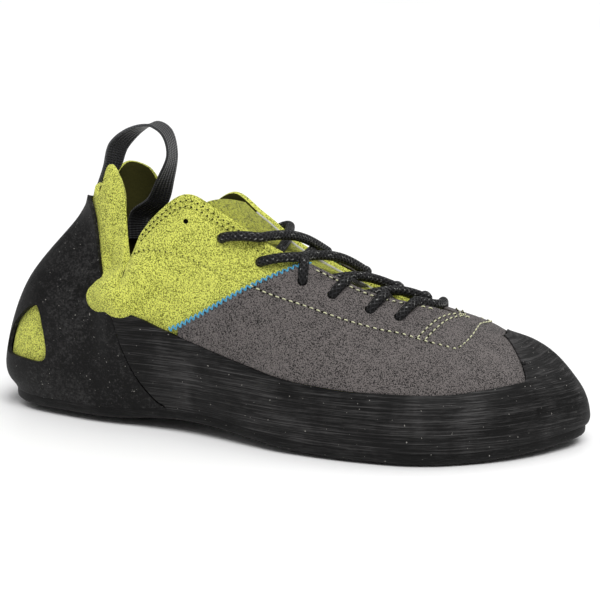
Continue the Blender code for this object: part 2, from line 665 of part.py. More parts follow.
def make_lace(collection, cutters, material):
    """The bar at the toe end and the crossed strands behind it, joined where they cross and share an eyelet."""
    used = len(LATERAL_EYELETS) - EMPTY_PAIRS
    runs = [(LATERAL_EYELETS[0], MEDIAL_EYELETS[0])]
    for step in range(used - 1):
        runs.append((LATERAL_EYELETS[step], MEDIAL_EYELETS[step + 1]))
        runs.append((LATERAL_EYELETS[step + 1], MEDIAL_EYELETS[step]))
    lace = None
    for index, (start, end) in enumerate(runs):
        if lace is None:
            lace = make_strand("lace", lace_row(start, end), collection, material)
            continue
        strand = make_strand("strand_%d" % index, lace_row(start, end), cutters, None)
        tool = lace.modifiers.new(strand.name, "BOOLEAN")
        tool.operation = "UNION"
        tool.object = hide_cutter(strand)
    return lace


def make_pull_loop(collection, material):
    """The webbing loop from behind the heel, up, over and down inside the inner ear."""
    offset = SKIN_GAP + WEBBING_THICKNESS / 2
    points, turns = [], []
    for high in LOOP_SEAT:
        points.append(skin_point(0, level_at(0, high * COLLAR_HEIGHT), offset))
        turns.append(90)
    for fold in LOOP_FOLDS:
        points.append(Vector((fold.x * LENGTH, fold.y * HEEL_WIDTH / 2, fold.z * COLLAR_HEIGHT)))
        turns.append(fold.turn)
    place = ring_place("medial", LOOP_TUCK_SECTION)
    for level in LOOP_TUCK:
        out = wall_normal(place, level)
        points.append(wall_point(place, level) - out * (UPPER_WALL + LOOP_TUCK_GAP + offset))
        turns.append(math.degrees(math.atan2(-out.x, out.y)))
    outer, inner = [], []
    for index, (point, turn) in enumerate(zip(points, turns)):
        run = points[min(index + 1, len(points) - 1)] - points[max(index - 1, 0)]
        across = Vector((math.cos(math.radians(turn)), math.sin(math.radians(turn)), 0))
        across = (across - across.project(run)).normalized() * WEBBING_WIDTH / 2
        out = across.cross(run).normalized() * WEBBING_THICKNESS / 2
        outer.append([point - across + out, point + across + out])
        inner.append([point - across - out, point + across - out])
    return thick_sheet("pull_loop", [(outer, inner)], collection, material)


def stand_on_origin(objects):
    """Moves every mesh so that the middle of the shoe's box is over the origin, with the sole on the floor."""
    corners = [corner.co for part in objects if part.users_collection[0].name == NAME for corner in part.data.vertices]
    middle = [(min(co[axis] for co in corners) + max(co[axis] for co in corners)) / 2 for axis in (0, 1)]
    for part in objects:
        part.data.transform(Matrix.Translation((-middle[0], -middle[1], 0)))


def main():
    for old in list(bpy.data.objects):
        bpy.data.objects.remove(old)
    parts = bpy.data.collections.new(NAME)
    cutters = bpy.data.collections.new("cutters")
    bpy.context.scene.collection.children.link(parts)
    bpy.context.scene.collection.children.link(cutters)
    lime = make_material("lime_suede", (0.55, 0.62, 0.05), 0.9)
    grey = make_material("grey_suede", (0.13, 0.12, 0.115), 0.9)
    rubber = make_material("black_rubber", (0.015, 0.014, 0.015), 0.65)
    lining = make_material("footbed_fabric", (0.08, 0.08, 0.08), 0.9)
    cord = make_material("lace_cord", (0.012, 0.012, 0.013), 0.8)
    webbing = make_material("webbing", (0.03, 0.03, 0.032), 0.8)
    upper = make_upper(parts, lime)
    vamp = make_vamp(parts, grey)
    eyelets = make_eyelet_cutter(cutters)
    cut(upper, eyelets)
    cut(vamp, eyelets)
    make_side_rand(parts, rubber)
    make_heel_rand(parts, cutters, rubber)
    make_outsole(parts, rubber)
    make_insole(parts, lining)
    make_tongue(parts, lime)
    make_lace(parts, cutters, cord)
    make_pull_loop(parts, webbing)
    stand_on_origin(list(parts.objects) + list(cutters.objects))


if __name__ == "__main__":
    main()
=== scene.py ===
"""Looks of a lace-up climbing shoe for the right foot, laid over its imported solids.

+X points to the toe, +Y to the inner (medial) side of the foot and +Z up, in metres, as in the frame. The
suede, rubber and tongue are laid on the same sections of the last as the solids, with more steps, and then
get their seams, folds, holes and edges.
"""
import math
from collections import namedtuple

import bmesh
import bpy
import numpy as np
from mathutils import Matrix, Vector


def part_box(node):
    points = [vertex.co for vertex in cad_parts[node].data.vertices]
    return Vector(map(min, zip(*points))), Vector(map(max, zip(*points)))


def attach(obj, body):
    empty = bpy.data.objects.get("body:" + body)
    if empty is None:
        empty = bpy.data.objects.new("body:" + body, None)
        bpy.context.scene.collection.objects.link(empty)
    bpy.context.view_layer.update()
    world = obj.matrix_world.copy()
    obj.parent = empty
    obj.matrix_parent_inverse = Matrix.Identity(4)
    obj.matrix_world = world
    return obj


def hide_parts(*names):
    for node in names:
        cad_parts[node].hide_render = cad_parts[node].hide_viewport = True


bl_info = {
    "name": "Climbing Shoe Looks",
    "version": (1, 0, 0),
    "blender": (4, 5, 0),
    "location": "View3D > Sidebar > Shoe",
    "description": "Builds the suede, rubber, lace, stitching and stage of a climbing shoe over its solids",
    "category": "Object",
}

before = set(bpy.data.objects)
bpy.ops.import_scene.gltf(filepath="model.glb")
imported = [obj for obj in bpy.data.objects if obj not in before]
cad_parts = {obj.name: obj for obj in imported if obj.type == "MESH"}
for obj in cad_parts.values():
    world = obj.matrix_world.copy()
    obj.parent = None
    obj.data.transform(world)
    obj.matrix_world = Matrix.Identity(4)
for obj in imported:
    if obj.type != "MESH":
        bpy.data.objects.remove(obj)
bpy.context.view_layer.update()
BODY = "root"

# Sizes of the last in metres, as in the part's source
LENGTH = 0.262
BALL_WIDTH = 0.098
HEEL_WIDTH = 0.062
COLLAR_HEIGHT = 0.102
INSTEP_HEIGHT = 0.064
ARCH_RISE = 0.0048
TOE_SPRING = 0.0036

# Sheet thicknesses and gaps in metres
UPPER_WALL = 0.0020
RAND_THICKNESS = 0.0018
VAMP_THICKNESS = 0.0010
SKIN_GAP = 0.0007
SEAT_GAP = 0.0003
SOLE_THICKNESS = 0.0045
INSOLE_THICKNESS = 0.0025
INSOLE_GAP = 0.0006
INSOLE_SIDE_GAP = 0.0014
TONGUE_THICKNESS = 0.0030
TONGUE_GAP = 0.0008

# Laces, eyelets and the webbing loop, in metres
LACE_DIAMETER = 0.0042
EYELET_DIAMETER = 0.0044
WEBBING_WIDTH = 0.0095
WEBBING_THICKNESS = 0.0012
WEBBING_RIM = 0.0003

# The outer and the inner side
SIDES = ("lateral", "medial")

# How far along the shoe, in sections, and up the wall, in levels, a wall's way out is measured
NORMAL_SPAN = 0.3
NORMAL_STEP = 0.02
NORMAL_TOP = 0.97
# Over the toes the way out turns from this level on into the ridge's way up, whose last section
# is this far back
RIDGE_LEVEL = 0.8
RIDGE_BACK = 2.5
# Below this share of its height the wall's thickness is laid level, so that it sits flat on the sole
UPRIGHT_LEVEL = 0.25

Plan = namedtuple("Plan", "name spine_x spine_y lateral_x lateral_y medial_x medial_y edge_lift sole_lift")
Wall = namedtuple("Wall", "name low_out low_high mid_out mid_high neck_out neck_high top_out top_high")

# Where each section starts and meets the feather edge. x is a share of LENGTH from the heel, and y of half
# the heel or ball width. The lifts are shares of ARCH_RISE up to the ball, and of TOE_SPRING in front of it.
PLAN = [
    Plan("heel_back", 0.244, 0.03, 0.031, 0.032, 0.031, 0.032, 0.50, 0.50),
    Plan("heel_round", 0.244, 0.03, 0.046, -0.419, 0.046, 0.484, 0.55, 0.21),
    Plan("heel_side", 0.244, 0.03, 0.092, -0.710, 0.092, 0.774, 0.50, 0.04),
    Plan("heel_seat", 0.244, 0.03, 0.160, -0.839, 0.160, 0.903, 0.54, 0.00),
    Plan("ear_peak", 0.244, 0.03, 0.214, -0.903, 0.214, 0.935, 0.54, 0.00),
    Plan("ear_front", 0.252, 0.03, 0.252, -0.919, 0.252, 0.952, 0.58, 0.00),
    Plan("notch", 0.271, 0.03, 0.271, -0.919, 0.271, 0.952, 0.66, 0.12),
    Plan("quarter_back", 0.290, 0.03, 0.290, -0.919, 0.290, 0.935, 0.78, 0.33),
    Plan("quarter_rise", 0.321, 0.05, 0.321, -0.935, 0.321, 0.903, 0.96, 0.67),
    Plan("quarter_peak", 0.374, 0.06, 0.374, -0.968, 0.374, 0.839, 1.12, 1.00),
    Plan("upper_lace", 0.435, 0.06, 0.435, -1.065, 0.435, 0.806, 1.00, 0.92),
    Plan("instep", 0.504, 0.06, 0.504, -0.776, 0.504, 0.531, 0.70, 0.58),
    Plan("waist", 0.580, 0.08, 0.580, -0.867, 0.580, 0.633, 0.36, 0.21),
    Plan("joint", 0.672, 0.08, 0.672, -0.890, 0.672, 0.837, 0.16, 0.00),
    Plan("throat_front", 0.756, 0.12, 0.756, -0.860, 0.756, 0.898, 0.14, 0.00),
    Plan("toe_joint", 0.817, 0.16, 0.817, -0.755, 0.817, 0.908, 0.16, 0.00),
    Plan("toe_box", 0.847, 0.18, 0.863, -0.592, 0.863, 0.878, 0.17, 0.14),
    Plan("toe_side", 0.863, 0.22, 0.916, -0.327, 0.916, 0.796, 0.42, 0.36),
    Plan("toe_round", 0.863, 0.22, 0.958, 0.000, 0.958, 0.673, 0.72, 0.67),
    Plan("toe_tip", 0.863, 0.22, 0.985, 0.367, 0.985, 0.367, 1.00, 1.00),
]

# The wall at its low bulge, middle, neck and top edge. An out is a share of the distance from the spine to
# the feather edge, and a high is a share of COLLAR_HEIGHT up to upper_lace, and of INSTEP_HEIGHT
# from instep on.
LATERAL = [
    Wall("heel_back", 1.10, 0.196, 0.90, 0.529, 0.44, 0.833, 0.32, 0.971),
    Wall("heel_round", 1.09, 0.196, 0.91, 0.520, 0.465, 0.824, 0.330, 0.980),
    Wall("heel_side", 1.05, 0.206, 0.91, 0.510, 0.54, 0.784, 0.42, 0.975),
    Wall("heel_seat", 1.06, 0.216, 0.97, 0.490, 0.64, 0.745, 0.58, 0.948),
    Wall("ear_peak", 1.05, 0.216, 1.02, 0.471, 0.75, 0.706, 0.66, 1.088),
    Wall("ear_front", 1.08, 0.216, 1.14, 0.510, 0.88, 0.667, 0.69, 0.980),
    Wall("notch", 1.08, 0.216, 1.17, 0.490, 1.05, 0.588, 0.83, 0.700),
    Wall("quarter_back", 1.08, 0.216, 1.15, 0.471, 1.05, 0.637, 0.85, 0.815),
    Wall("quarter_rise", 1.07, 0.216, 1.11, 0.451, 1.02, 0.686, 0.85, 0.912),
    Wall("quarter_peak", 1.06, 0.216, 1.09, 0.451, 0.97, 0.725, 0.80, 1.000),
    Wall("upper_lace", 1.06, 0.216, 1.04, 0.431, 0.89, 0.686, 0.66, 0.922),
    Wall("instep", 1.04, 0.312, 0.99, 0.625, 0.80, 0.984, 0.54, 1.297),
    Wall("waist", 1.03, 0.312, 0.97, 0.594, 0.75, 0.891, 0.44, 1.156),
    Wall("joint", 1.03, 0.281, 0.96, 0.516, 0.71, 0.781, 0.35, 0.992),
    Wall("throat_front", 1.03, 0.250, 0.93, 0.469, 0.65, 0.703, 0.18, 0.891),
    Wall("toe_joint", 1.03, 0.250, 0.91, 0.453, 0.60, 0.641, 0.00, 0.778),
    Wall("toe_box", 1.03, 0.234, 0.92, 0.422, 0.60, 0.578, 0.00, 0.706),
    Wall("toe_side", 1.04, 0.219, 0.94, 0.383, 0.61, 0.547, 0.00, 0.680),
    Wall("toe_round", 1.04, 0.203, 0.95, 0.352, 0.62, 0.516, 0.00, 0.680),
    Wall("toe_tip", 1.06, 0.188, 0.96, 0.344, 0.60, 0.510, 0.00, 0.680),
]
MEDIAL = [
    Wall("heel_back", 1.10, 0.196, 0.90, 0.529, 0.44, 0.833, 0.32, 0.971),
    Wall("heel_round", 1.09, 0.196, 0.91, 0.520, 0.465, 0.824, 0.330, 0.980),
    Wall("heel_side", 1.05, 0.206, 0.91, 0.510, 0.54, 0.784, 0.42, 1.010),
    Wall("heel_seat", 1.06, 0.216, 0.97, 0.490, 0.64, 0.745, 0.57, 1.045),
    Wall("ear_peak", 1.09, 0.216, 1.05, 0.471, 0.79, 0.706, 0.69, 1.020),
    Wall("ear_front", 1.12, 0.216, 1.16, 0.490, 0.91, 0.686, 0.74, 0.900),
    Wall("notch", 1.12, 0.216, 1.18, 0.471, 1.05, 0.588, 0.86, 0.660),
    Wall("quarter_back", 1.14, 0.216, 1.18, 0.471, 1.07, 0.637, 0.89, 0.740),
    Wall("quarter_rise", 1.17, 0.225, 1.21, 0.451, 1.13, 0.686, 0.98, 0.840),
    Wall("quarter_peak", 1.19, 0.235, 1.25, 0.451, 1.17, 0.725, 1.02, 0.925),
    Wall("upper_lace", 1.17, 0.235, 1.26, 0.451, 1.17, 0.706, 0.87, 0.850),
    Wall("instep", 1.17, 0.375, 1.26, 0.688, 1.13, 1.000, 0.80, 1.165),
    Wall("waist", 1.13, 0.344, 1.15, 0.625, 0.96, 0.910, 0.56, 1.040),
    Wall("joint", 1.05, 0.297, 1.01, 0.562, 0.76, 0.800, 0.27, 0.920),
    Wall("throat_front", 1.07, 0.266, 0.97, 0.500, 0.66, 0.720, 0.11, 0.848),
    Wall("toe_joint", 1.05, 0.250, 0.96, 0.469, 0.66, 0.672, 0.00, 0.778),
    Wall("toe_box", 1.04, 0.234, 0.93, 0.438, 0.61, 0.625, 0.00, 0.706),
    Wall("toe_side", 1.04, 0.219, 0.94, 0.422, 0.62, 0.594, 0.00, 0.680),
    Wall("toe_round", 1.04, 0.203, 0.93, 0.383, 0.60, 0.562, 0.00, 0.680),
    Wall("toe_tip", 1.06, 0.188, 0.96, 0.344, 0.60, 0.510, 0.00, 0.680),
]

LAST_COLLAR_SECTION = "upper_lace"
LAST_ARCH_SECTION = "throat_front"
FIRST_CLOSED_SECTION = "toe_joint"

# Edges of the rubber and the vamp: the place along the shoe, counted in sections from heel_back, and the
# height as a share of COLLAR_HEIGHT. Both sides of the shoe share them.
HEEL_RAND_TOP = [
    (0, 0.90), (2, 0.93), (2.85, 0.915), (3.3, 0.81), (3.7, 0.70), (4, 0.63), (4.5, 0.57), (5, 0.52),
    (6, 0.35), (7, 0.245), (8, 0.147), (8.5, 0.09),
]
SIDE_RAND_TOP = [
    (4, 0.53), (5, 0.525), (6, 0.512), (7, 0.495), (8, 0.465), (9, 0.42), (10, 0.377), (11, 0.338),
    (12, 0.304), (13, 0.284), (14, 0.279), (15, 0.275), (16, 0.28), (17, 0.29),
]
VAMP_TOP = [(8.75, 0.44), (9.75, 0.53), (10.9, 0.655), (12, 0.75)]
SEAM_RISE = 0.010
HEEL_RAND_END = 8.5
SIDE_RAND_START = 5.1
VAMP_START = 9
VAMP_FULL = 12
# How far the vamp starts above the rubber, in metres
VAMP_RISE = 0.0002

# The toe cap starts along one section line on the outer side, where the band's edge turns up into it within
# some sections. Its rear edge comes down over the inner side, as sections and levels.
CAP_START = 17.6
CAP_TURN = 0.35
CAP_TURN_POWER = 5
MEDIAL_CAP = [(14, 0), (15, 0.5), (15.5, 0.7), (16, 0.86), (16.5, 0.93), (17, 1)]
LATERAL_VAMP_END = 17.58
MEDIAL_VAMP_END = 16.95

# The window on each side of the heel: its corners in sections and shares of COLLAR_HEIGHT
WINDOW = [(1.9, 0.46), (2.38, 0.36), (2.48, 0.24), (1.7, 0.228), (1.0, 0.245), (1.2, 0.36)]

# Eyelets from the toe back, in sections; the last pair stays empty
EYELETS = {"lateral": [13.6, 13.1, 12.45, 11.9, 10.95, 10.0, 9.0],
           "medial": [13.93, 13.4, 12.8, 12.2, 11.3, 10.25, 9.2]}
EYELET_LEVEL = 0.90
EMPTY_PAIRS = 1

TONGUE_START = 9.5
TONGUE_END = 14.5
TONGUE_TUCK = [0.80, 0.90, 1.0]
# A ripple's height in metres, and its turns along the tongue in radians
TONGUE_RIPPLE = 0.0007
TONGUE_RIPPLE_TURN = 11

# How strongly a line across the throat keeps the way in which it leaves both edges
BRIDGE_LIFT = 0.6

# The webbing loop between its seat behind the heel and its seat inside the inner ear. x is a share of
# LENGTH, y of half HEEL_WIDTH and z of COLLAR_HEIGHT; turn is the way that the width faces, in degrees
# from +X.
Fold = namedtuple("Fold", "x y z turn")
LOOP_FOLDS = [
    Fold(0.188, 0.06, 1.05, 62), Fold(0.200, 0.10, 1.14, 50), Fold(0.228, 0.16, 1.21, 62),
    Fold(0.259, 0.25, 1.235, 80), Fold(0.282, 0.32, 1.19, 88), Fold(0.287, 0.38, 1.09, 88),
    Fold(0.270, 0.42, 0.97, 60), Fold(0.250, 0.46, 0.87, 30),
]
LOOP_SEAT = [0.925, 0.965]
LOOP_TUCK_SECTION = 3.5
LOOP_TUCK = [0.82, 0.74]
LOOP_TUCK_GAP = 0.0020


def last_columns():
    """The sections in metres, one array a value, along the outer side to the toe and back on the inner."""
    names = [plan.name for plan in PLAN]
    sides = {side: [] for side in SIDES}
    for index, plan in enumerate(PLAN):
        rear = index <= names.index(LAST_COLLAR_SECTION)
        half = (HEEL_WIDTH if rear else BALL_WIDTH) / 2
        height = COLLAR_HEIGHT if rear else INSTEP_HEIGHT
        lift = ARCH_RISE if index <= names.index(LAST_ARCH_SECTION) else TOE_SPRING
        for side, wall in zip(SIDES, (LATERAL[index], MEDIAL[index])):
            row = {"spine_x": plan.spine_x * LENGTH, "spine_y": plan.spine_y * half}
            row.update(foot_x=getattr(plan, side + "_x") * LENGTH, foot_y=getattr(plan, side + "_y") * half)
            row.update(edge_lift=plan.edge_lift * lift, sole_lift=plan.sole_lift * lift)
            for part in ("low", "mid", "neck", "top"):
                row[part + "_out"] = getattr(wall, part + "_out")
                row[part + "_high"] = getattr(wall, part + "_high") * height
            sides[side].append(row)
    rows = sides["lateral"] + sides["medial"][-2:0:-1]
    return {key: np.array([row[key] for row in rows]) for key in rows[0]}


LAST = last_columns()
TIP = len(PLAN) - 1
ROUND = 2 * TIP
CLOSED = [plan.name for plan in PLAN].index(FIRST_CLOSED_SECTION)


def last_value(key, place):
    """A value of the sections at places round the shoe: 0 the heel, TIP the toe and ROUND the heel again."""
    step = np.floor(place).astype(int)
    share = place - step
    four = [LAST[key][(step + shift) % ROUND] for shift in (-1, 0, 1, 2)]
    rises = [after - before for before, after in zip(four, four[1:])]
    slopes = []
    for one, other in zip(rises, rises[1:]):
        total = np.where(one + other == 0, 1, one + other)
        slopes.append(np.where(one * other > 0, 2 * one * other / total, 0))
    square, cube = share ** 2, share ** 3
    hold = 2 * cube - 3 * square
    return ((hold + 1) * four[1] - hold * four[2]
            + (cube - 2 * square + share) * slopes[0] + (cube - square) * slopes[1])


def section_of(place):
    """The section that a place lies in, the same on both sides."""
    place = np.asarray(place, float) % ROUND
    return np.minimum(place, ROUND - place)


def ring_place(side, section):
    """The place round the shoe of a section on one side."""
    section = np.asarray(section, float)
    return section if side == "lateral" else ROUND - section


def closedness(place):
    """1 where the wall meets the other side at the ridge, 0 where it ends at an open edge."""
    return np.maximum(0, 1 - last_value("top_out", place) / 0.25)


def unit(vectors):
    """Vectors, each scaled to a length of 1."""
    return vectors / np.linalg.norm(vectors, axis=-1, keepdims=True)


def curve_between(four, share):
    """Points between the middle two of four, by Catmull-Rom."""
    p0, p1, p2, p3 = four
    bend = 2 * p1 + (p2 - p0) * share + (2 * p0 - 5 * p1 + 4 * p2 - p3) * share ** 2
    return (bend + (3 * p1 - p0 - 3 * p2 + p3) * share ** 3) / 2


def wall_point(place, level):
    """Points of the upper's outer face, at levels from 0 at the sole to 1 at the top edge or ridge."""
    place, level = np.broadcast_arrays(np.asarray(place, float), np.asarray(level, float))
    spine = np.stack([last_value("spine_x", place), last_value("spine_y", place)], -1)
    foot = np.stack([last_value("foot_x", place), last_value("foot_y", place)], -1)
    reach = np.linalg.norm(foot - spine, axis=-1)
    way = (foot - spine) / reach[..., None]
    outs = [reach]
    highs = [SOLE_THICKNESS + SEAT_GAP + last_value("edge_lift", place)]
    for part in ("low", "mid", "neck", "top"):
        outs.append(last_value(part + "_out", place) * reach)
        highs.append(last_value(part + "_high", place))
    other_side = last_value("top_high", ROUND - place)
    highs[-1] = np.where(section_of(place) >= CLOSED, (highs[-1] + other_side) / 2, highs[-1])
    stops = np.stack([np.stack(outs), np.stack(highs)], -1)
    open_end = 2 * stops[-1] - stops[-2]
    over_ridge = stops[-2] * np.array([-1, 1])
    after = open_end + (over_ridge - open_end) * closedness(place)[..., None]
    stops = np.concatenate([(2 * stops[0] - stops[1])[None], stops, after[None]])
    along = np.minimum(level, 1) * 4
    step = np.minimum(along.astype(int), 3)
    share = (along - step)[..., None]
    where = tuple(np.indices(step.shape))
    bend = curve_between([stops[(step + shift,) + where] for shift in range(4)], share)
    flat = spine + way * bend[..., :1]
    return np.concatenate([flat, bend[..., 1:]], -1)


def ridge_normal(place):
    """The way up from the closed ridge over the toes."""
    section = np.minimum(section_of(place), TIP - RIDGE_BACK)
    run = wall_point(section + 0.5, 1) - wall_point(section - 0.5, 1)
    flat = np.hypot(run[..., 0], run[..., 1])
    return unit(np.stack([-run[..., 2] * run[..., 0] / flat, -run[..., 2] * run[..., 1] / flat, flat], -1))


def wall_normal(place, level):
    """The way out from the upper's outer face."""
    place, level = np.broadcast_arrays(np.asarray(place, float), np.asarray(level, float))
    below = np.maximum(0, np.minimum(level, NORMAL_TOP) - NORMAL_STEP)
    middle = below + NORMAL_STEP
    along = wall_point(place + NORMAL_SPAN, middle) - wall_point(place - NORMAL_SPAN, middle)
    up = wall_point(place, below + 2 * NORMAL_STEP) - wall_point(place, below)
    out = unit(np.cross(along, up))
    out[..., 2] *= np.minimum(1, level / UPRIGHT_LEVEL)
    out = unit(out)
    near_ridge = (np.maximum(0, (level - RIDGE_LEVEL) / 0.2) ** 2 * closedness(place))[..., None]
    return unit(out + (ridge_normal(place) - out) * near_ridge)


def skin_point(place, level, offset):
    """Points at a distance outside the upper's outer face. Both sides agree on the closed ridge."""
    values = [np.asarray(value, float) for value in (place, level, offset)]
    place, level, offset = np.broadcast_arrays(*values)
    place = place % ROUND
    place = np.where((level >= 1) & (section_of(place) >= CLOSED), section_of(place), place)
    return wall_point(place, level) + wall_normal(place, level) * offset[..., None] + FRAME_SHIFT


def frame_shift():
    """How far the frame's upper lies from the sections, whose x counts from the heel."""
    place, level = np.meshgrid(np.linspace(0, ROUND, 20 * ROUND + 1), np.linspace(0, 1, 81))
    points = wall_point(place, level).reshape(-1, 3)
    low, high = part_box("upper")
    middle = (np.array(low) + np.array(high)) / 2 - (points.min(0) + points.max(0)) / 2
    return middle * np.array([1, 1, 0])


FRAME_SHIFT = np.zeros(3)
FRAME_SHIFT = frame_shift()


def level_at(place, height):
    """The level at which the wall reaches a height."""
    place, height = np.broadcast_arrays(np.asarray(place, float), np.asarray(height, float))
    low, high = np.zeros(place.shape), np.ones(place.shape)
    for _ in range(20):
        middle = (low + high) / 2
        under = wall_point(place, middle)[..., 2] < height
        low = np.where(under, middle, low)
        high = np.where(under, high, middle)
    return (low + high) / 2


def along_edge(edges, section):
    """The height of a table of edges at sections."""
    return np.interp(section, *zip(*edges))


def soft_edge(edges, section):
    """The height of a table of edges, with its corners rounded off."""
    nearby = [along_edge(edges, section + shift) for shift in (-0.3, -0.15, 0, 0.15, 0.3)]
    return sum(nearby) / len(nearby)


def path_on(points, steps):
    """A smooth line through a few points, as rows of an array, by Catmull-Rom."""
    points = np.asarray(points, float)
    points = np.vstack([2 * points[0] - points[1], points, 2 * points[-1] - points[-2]])
    share = np.linspace(0, len(points) - 3, steps)
    step = np.minimum(share.astype(int), len(points) - 4)
    share = (share - step)[:, None]
    return curve_between([points[step + shift] for shift in range(4)], share)


def run_lengths(points, axis=0):
    """Lengths along one direction of a line or grid of points, from 0."""
    steps = np.linalg.norm(np.diff(points, axis=axis), axis=-1)
    return np.concatenate([np.zeros_like(np.take(steps, [0], axis)), np.cumsum(steps, axis=axis)], axis=axis)


def evenly(points, spacing):
    """Points at an even spacing along a line. Columns after the third are carried along."""
    lengths = run_lengths(points[:, :3])
    count = max(2, int(round(lengths[-1] / spacing)) + 1)
    wanted = np.linspace(0, lengths[-1], count)
    return np.stack([np.interp(wanted, lengths, points[:, axis]) for axis in range(points.shape[1])], -1)


# Steps of the sheets: columns to a section, and rows up the wall
UPPER_STEPS = (9, 56)
VAMP_STEPS = (20, 40)
SIDE_RAND_STEPS = (16, 34)
HEEL_RAND_STEPS = (16, 44)
# Columns to a section and steps across the plates, and columns and rows of the whole tongue
OUTSOLE_STEPS = (12, 15)
INSOLE_STEPS = (6, 9)
TONGUE_STEPS = (90, 44)
# Points along a seam, a strand of the lace, the loop and the hem, and across the throat. The loop also has
# rows across it, and the hem and the thread have sides.
SEAM_STEPS = 200
EDGE_SEAM_STEPS = 300
ZIGZAG_STEPS = 400
STRAND_STEPS = 150
LOOP_STEPS = 160
LOOP_ROWS = 12
HEM_STEPS = 160
HEM_SIDES = 8
THREAD_SIDES = 6
STRAND_ARCH = 8
TONGUE_ARCH = 12
# Corners closer than this merge. Rims sharper than an angle are bevelled, and faces below one look smooth.
WELD_DISTANCE = 0.00002
RIM = 0.0004
RIM_ANGLE = math.radians(55)
SMOOTH_ANGLE = math.radians(42)

# The eyelets' holes, and the width and depth in metres of the empty pair's, which are drawn nearly shut
HOLE_SIDES = 24
EMPTY_HOLE = 0.0022
EMPTY_DEPTH = 0.0014

# The share of the sole's half width that is flat, and how round the plates' edges are
FLAT_SHARE = 0.5
SOLE_ROUND = 0.0022
SOLE_TOP_ROUND = 0.0001
INSOLE_ROUND = 0.0004

# The upper shows from this far over the rubber and vamp, with a soft change, as shares of COLLAR_HEIGHT. The
# heel rand covers it up to a section, and the side rand after that.
COVER_MARGIN = 0.01
COVER_CHANGE = 0.04
HEEL_COVER_END = 5.6

# Braid, webbing and thread, in metres. BRAID_ROUND is the braid's turn in radians to a metre round the cord.
BRAID_PITCH = 0.0021
BRAID_ROUND = 2869.0
WEBBING_RIB = 0.0011
WEBBING_YARN = 0.0016
THREAD_RADIUS = 0.00029
STITCH_PITCH = 0.0031
STITCH_LENGTH = 0.0019
# A stitch of length 1: its radius, its points, how far its middle rises over its ends, and how deep those lie
STITCH_SHAPE_RADIUS = 0.16
STITCH_POINTS = 7
STITCH_BOW = 0.28
STITCH_DIP = 0.1

# Sizes of the grain in metres: patches of the nap, strokes of the buffing, patches of bloom, and dust
NAP_PATCH = 0.007
BUFFING = 0.0045
BLOOM_PATCH = 0.020
DUST = 0.0010

# Fixed colours, and the nap's depths as shares of the suede's colour
DUST_COLOUR = (0.28, 0.27, 0.25)
# The lining's dark olive is partly its own colour and partly painted shade of the inside of the shoe
LINING_AND_SHADE_COLOUR = (0.052, 0.050, 0.013)
# Painted shade: the dark inside of the needle and eyelet holes
HOLE_SHADE_COLOUR = (0.010, 0.010, 0.006)
HEM_COLOUR = (0.52, 0.52, 0.46)
RUBBER_BLOOM = (0.062, 0.060, 0.060)
GREEN_DEEP = (0.19, 0.20, 0.10)
GREY_DEEP = (0.07, 0.07, 0.075)

# Points on a crease's line, and the power with which it fades out toward both ends
CREASE_POINTS = 72
CREASE_FADE = 0.6
# A crease: its side, its line as places in sections and levels, its half width and its rise in metres
Crease = namedtuple("Crease", "side line width rise")
UPPER_CREASES = [
    Crease("lateral", [(6.4, 0.52), (7.2, 0.57), (8.0, 0.62), (8.8, 0.67)], 0.0034, -0.0016),
    Crease("lateral", [(7.4, 0.53), (8.2, 0.60), (9.2, 0.63)], 0.0050, 0.0010),
    Crease("lateral", [(8.6, 0.86), (9.4, 0.80), (10.2, 0.80)], 0.0045, -0.0007),
    Crease("lateral", [(4.4, 0.98), (4.6, 0.86), (4.5, 0.74)], 0.0040, -0.0007),
    Crease("lateral", [(3.7, 0.76), (4.5, 0.73), (5.2, 0.76)], 0.0034, -0.0014),
    Crease("medial", [(5.2, 0.56), (6.4, 0.60), (7.6, 0.65)], 0.0040, -0.0014),
    Crease("medial", [(3.7, 0.74), (4.5, 0.69), (5.4, 0.73)], 0.0040, -0.0014),
    Crease("medial", [(9.0, 0.60), (10.2, 0.66), (11.2, 0.72)], 0.0050, -0.0009),
]
# The soft roll at the ankle, which hangs over the heel rand's top edge
ANKLE_ROLL = [
    Crease("lateral", [(3.6, 0.615), (4.0, 0.60), (4.5, 0.595), (5.1, 0.615), (6.0, 0.665), (7.2, 0.75),
                       (8.2, 0.80)], 0.0092, 0.0064),
    Crease("medial", [(3.6, 0.60), (4.5, 0.59), (5.2, 0.61), (6.0, 0.64), (7.0, 0.70)], 0.0095, 0.0032),
]
FOREFOOT_CREASES = [
    Crease("lateral", [(12.6, 0.60), (13.2, 0.72), (13.6, 0.82)], 0.0045, -0.0007),
    Crease("lateral", [(14.6, 0.62), (15.2, 0.74), (15.6, 0.88)], 0.0050, -0.0006),
    Crease("lateral", [(10.8, 0.58), (11.8, 0.63), (12.6, 0.60)], 0.0060, -0.0005),
    Crease("medial", [(12.8, 0.66), (13.4, 0.76), (13.7, 0.86)], 0.0045, -0.0007),
]

# Seams as lines of sections and levels, or as a range of sections and a depth in metres under the top edge
CREAM_SEAM = [
    (10.88, 0.775), (11.4, 0.777), (12.0, 0.787), (12.6, 0.795), (13.2, 0.803), (13.75, 0.808), (14.2, 0.80),
    (14.7, 0.795), (15.0, 0.80), (15.17, 0.84), (15.28, 0.91), (15.25, 0.995),
]
TOE_SEAM = [(14.1, 0.815), (14.2, 0.88), (14.32, 0.94), (14.5, 0.985), (14.62, 0.998)]
TOE_SEAM_STEP = 0.16
QUARTER_SEAM = [(6.85, 0.90), (8.0, 0.835), (8.8, 0.78), (9.5, 0.763), (10.2, 0.762), (10.65, 0.77)]
EDGE_SEAM_DEPTHS = [0.0026, 0.0052]
EDGE_SEAM_SECTIONS = (7.15, 11.7)
THROAT_SEAM_SECTIONS = (12.1, 14.05)
THROAT_SEAM_DEPTH = 0.0017
# The step in level, down from the top edge, over which the wall's length gives a seam's level from its depth
DEPTH_STEP = 0.05
